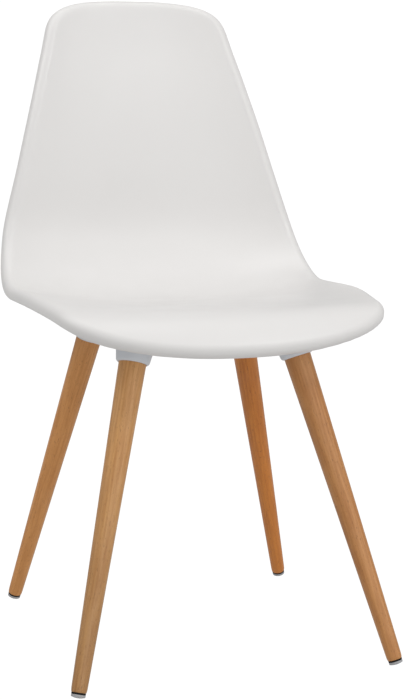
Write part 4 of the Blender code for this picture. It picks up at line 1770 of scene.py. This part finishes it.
    def build_turned_pieces(self, corner: Corner, axis: Matrix, finishes: Finishes) -> None:
        """Turns the insert, cushion, glide and nail of one leg.

        Args:
            corner: The leg's corner.
            axis: The frame on its axis.
            finishes: The chair's materials.
        """
        steel = finishes.wear(finishes.steel)
        rubber = finishes.wear(finishes.rubber)
        nylon = finishes.wear(finishes.glide)
        pieces = (
            ("flanged_nut", "threaded_insert", self.insert_profile(), Slot.STEEL, steel),
            ("rubber_ring", "glide_cushion", self.cushion_profile(), Slot.RUBBER, rubber),
            ("floor_glide", "glide_base", self.glide_profile(), Slot.GLIDE, nylon),
            ("glide_pin", "glide_nail", self.nail_profile(), Slot.STEEL, steel),
        )
        for name, node, profile, slot, material in pieces:
            mesh = mesh_from(name, turned(profile, self.sides))
            mesh.transform(axis)
            if node == "glide_base":
                low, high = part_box(f"{node}_{corner.label}")
                reach = Vector((self.foot_radius, self.foot_radius, self.foot_radius * 2))
                block = box_builder(low - reach, Vector((high.x, high.y, 0.0)) + reach.xy.to_3d())
                mesh = shaped(mesh, cut=[mesh_from("floor_plane", block)], sharp=30.0)
            place_piece(f"{name}_{corner.label}", mesh, [f"{node}_{corner.label}"], material)

    def brace_corner(self, corner: Corner, following: Corner) -> tuple[Vector, Vector, Vector]:
        """Where two neighbouring arms' near edges meet, and the arms' directions."""
        middle = Vector((0, self.middle_y))
        first = (self.pad(corner).xy - middle).normalized()
        second = (self.pad(following).xy - middle).normalized()
        reach = self.arm_width / 2 / math.sin(first.angle(second) / 2)
        return middle + (first + second).normalized() * reach, first, second

    def brace_outline(self, ring: Sequence[Corner]) -> Profile:
        """Outline of the X, with a round pad at each end and a rounded corner between arms."""
        outline = []
        half_gap = math.asin(self.arm_width / 2 / self.pad_radius)
        fillet = 0.006
        for corner, following in zip(ring, ring[1:] + ring[:1]):
            pad = self.pad(corner)
            outward = math.atan2(pad.y - self.middle_y, pad.x)
            for a in np.linspace(half_gap - math.pi, math.pi - half_gap, 65):
                x = pad.x + self.pad_radius * math.cos(outward + a)
                y = pad.y + self.pad_radius * math.sin(outward + a)
                outline.append((x, y))
            tip, first, second = self.brace_corner(corner, following)
            start, end = tip + first * fillet, tip + second * fillet
            for t in np.linspace(0.0, 1.0, 7):
                point = start * (1 - t) ** 2 + tip * (2 * t * (1 - t)) + end * t**2
                outline.append((point.x, point.y))
        return outline

    def rib_outline(self, corner: Corner, following: Corner) -> Profile:
        """Outline of the stiffening rib along two neighbouring arms' near edges."""
        tip, first, second = self.brace_corner(corner, following)
        middle = Vector((0, self.middle_y))
        inward = (middle - tip).normalized() / math.sin(first.angle(second) / 2)
        tip = tip + inward * self.rib_inset
        inset = inward * self.rib_thickness
        ends = []
        for which, direction in ((corner, first), (following, second)):
            reach = (self.pad(which).xy - middle).length - self.flange_radius - self.rib_clearance
            outer = tip + direction * (reach - (tip - middle).dot(direction))
            ends.append((outer, outer + inset - direction * inset.dot(direction)))
        outline = [ends[0][0], tip, ends[1][0], ends[1][1], tip + inset, ends[0][1]]
        return [tuple(point) for point in outline]

    def build_brace(self, finishes: Finishes) -> None:
        """Builds the pressed steel X between the bosses and the sockets' flanges."""
        ring = [
            Corner(End.REAR, Side.LEFT),
            Corner(End.REAR, Side.RIGHT),
            Corner(End.FRONT, Side.RIGHT),
            Corner(End.FRONT, Side.LEFT),
        ]
        top = self.brace_top
        bottom = top - self.brace_thickness
        ribs = []
        for corner, following in zip(ring, ring[1:] + ring[:1]):
            outline = self.rib_outline(corner, following)
            rib = extruded(outline, top - self.rib_height, bottom + self.brace_thickness / 2)
            ribs.append(mesh_from(f"rib_{corner.label}", rib))
        mesh = shaped(
            mesh_from("plate", extruded(self.brace_outline(ring), bottom, top)),
            joined=ribs,
            cut=[self.screw_holes(None, bottom, top)],
            bevel=0.0003,
            sharp=40.0,
        )
        fit_inside(mesh, "cross_brace")
        material = finishes.wear(finishes.brace)
        place_piece("pressed_brace", mesh, ["cross_brace"], material)

    def build_screws(self, trees: dict[str, bpy.types.NodeTree], finishes: Finishes) -> None:
        """Builds the pan-head screws as one set.

        Args:
            trees: The Geometry Nodes trees of the rod and of the set.
            finishes: The chair's materials.
        """
        material = finishes.wear(finishes.steel)
        nodes = sorted(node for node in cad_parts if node.startswith("socket_screw_"))
        head_radius, head_height = self.screw_head
        seat = self.flange_top - self.flange_thickness - self.gap
        crown = arc((0, head_radius - head_height), head_radius, -90, -50, 6)
        head = [
            *crown,
            (head_radius, -0.001),
            (head_radius, 0),
            (self.screw_shank * 0.5, 0.0),
            (0, 0.0004),
        ]
        shank = run_tree(
            trees["rod"],
            {
                "Bottom": -0.0005,
                "Top": self.screw_length,
                "Radius": self.screw_shank,
                "Ridge": 0.0005,
                "Lower Pitch": 0.0014,
                "Upper Pitch": 0.0014,
                "Plain From": 0.0,
                "Plain To": 0.001,
                "Point": 0.0001,
                "Rows": 120,
                "Sides": 20,
            },
        )
        blank = temporary(shaped(mesh_from("head", turned(head, 36)), joined=[shank]))
        points = bpy.data.meshes.new("screw_points")
        points.from_pydata([(x, y, seat) for x, y in self.screw_places()], [], [])
        values = {"Screw": blank, "Head Height": head_height, "Material": material}
        mesh = run_tree(trees["screws"], values, points)
        bpy.data.objects.remove(blank)
        place_piece("pan_head_screws", mesh, nodes, material)


# Studio


@dataclass(frozen=True)
class Softbox:
    """A large square light, aimed at the middle of the chair."""

    name: str
    bearing: float
    elevation: float
    power: float
    size: float = 1.8
    distance: float = 3.0
    aim: tuple[float, float, float] = (0.0, 0.0, 0.5)

    def build(self) -> None:
        """Puts the light in the scene. Its bearing is in degrees from -Y towards +X."""
        data = bpy.data.lights.new(self.name, "AREA")
        data.shape = "SQUARE"
        data.size = self.size
        data.energy = self.power
        bearing, elevation = math.radians(self.bearing), math.radians(self.elevation)
        flat = math.cos(elevation)
        away = Vector((math.sin(bearing) * flat, -math.cos(bearing) * flat, math.sin(elevation)))
        light = bpy.data.objects.new(self.name, data)
        light.location = Vector(self.aim) + away * self.distance
        light.rotation_euler = (-away).to_track_quat("-Z", "Y").to_euler()
        bpy.context.scene.collection.objects.link(light)


@dataclass
class Studio:
    """Pale floor, white surroundings, soft lights and the camera."""

    camera_place: tuple[float, float, float] = (-0.5925, -2.0087, 0.66645)
    camera_pitch: float = -0.13728
    camera_turn: float = -0.29868
    lens: float = 80.79
    floor_radius: float = 14.0
    floor_glow: float = 0.58
    ambient: float = 0.42
    backdrop: float = 1.05
    lights: tuple[Softbox, ...] = (
        Softbox("side_softbox", -90.0, 50.0, 25.0),
        Softbox("low_side_softbox", -90.0, 20.0, 3.0),
        Softbox("overhead_softbox", 0.0, 88.0, 21.0),
        Softbox("far_fill_softbox", 50.0, 10.0, 12.5),
        Softbox("front_softbox", 15.0, 10.0, 11.0),
        Softbox("key_softbox", 32.0, 45.0, 15.0, size=0.8),
        Softbox("near_fill_softbox", -17.0, 5.0, 8.5),
        Softbox("back_softbox", 180.0, 30.0, 1.6),
    )

    def build(self) -> None:
        """Makes the whole studio."""
        self.build_camera()
        self.build_floor()
        self.build_surroundings()
        for light in self.lights:
            light.build()
        settings = bpy.context.scene.view_settings
        settings.view_transform = "Standard"
        settings.look = "None"

    def build_camera(self) -> None:
        """Makes the camera that sees the chair from the front, slightly from its right."""
        data = bpy.data.cameras.new("camera")
        data.lens = self.lens
        data.sensor_width = 36.0
        data.clip_end = 100.0
        camera = bpy.data.objects.new("camera", data)
        camera.location = self.camera_place
        camera.rotation_euler = (math.pi / 2 + self.camera_pitch, 0.0, self.camera_turn)
        bpy.context.scene.collection.objects.link(camera)
        bpy.context.scene.camera = camera

    def build_floor(self) -> None:
        """Makes the round white floor, which glows less as a light than to the eye."""
        builder = bmesh.new()
        bmesh.ops.create_circle(builder, cap_ends=True, radius=self.floor_radius, segments=96)
        mesh = bpy.data.meshes.new("floor")
        builder.to_mesh(mesh)
        builder.free()
        material = bpy.data.materials.new("white_floor")
        material.use_nodes = True
        material.node_tree.nodes.clear()
        self.seen_and_cast(material.node_tree, "ShaderNodeEmission", self.floor_glow)
        mesh.materials.append(material)
        floor = bpy.data.objects.new("floor", mesh)
        bpy.context.scene.collection.objects.link(floor)

    def build_surroundings(self) -> None:
        """Makes the white surroundings, which are dimmer as a light than to the eye."""
        world = bpy.data.worlds.new("white_studio")
        world.use_nodes = True
        bpy.context.scene.world = world
        world.node_tree.nodes.clear()
        self.seen_and_cast(world.node_tree, "ShaderNodeBackground", self.ambient)

    def seen_and_cast(self, tree: bpy.types.NodeTree, kind: str, cast: float) -> None:
        """Fills a tree with a white glow that the camera sees at its own strength.

        Args:
            tree: The empty tree of a material or of the world.
            kind: The type of its two glowing nodes.
            cast: Strength of the light that it casts.
        """
        graph = Graph(tree)
        white = (1.0, 1.0, 1.0, 1.0)
        seen = graph.add(kind, {"Color": white, "Strength": self.backdrop})
        lighting = graph.add(kind, {"Color": white, "Strength": cast})
        path = graph.add("ShaderNodeLightPath").outputs["Is Camera Ray"]
        mixed = graph.add("ShaderNodeMixShader", {0: path, 1: lighting, 2: seen})
        in_world = kind == "ShaderNodeBackground"
        end = "ShaderNodeOutputWorld" if in_world else "ShaderNodeOutputMaterial"
        graph.add(end, {"Surface": mixed})


def main() -> None:
    """Builds the studio and every piece of the chair."""
    logging.basicConfig(level=logging.INFO, format="%(message)s")
    Studio().build()
    finishes = Finishes()
    under = Undercarriage()
    SeatShell().build(under, finishes)
    under.build(finishes)


if __name__ == "__main__":
    main()
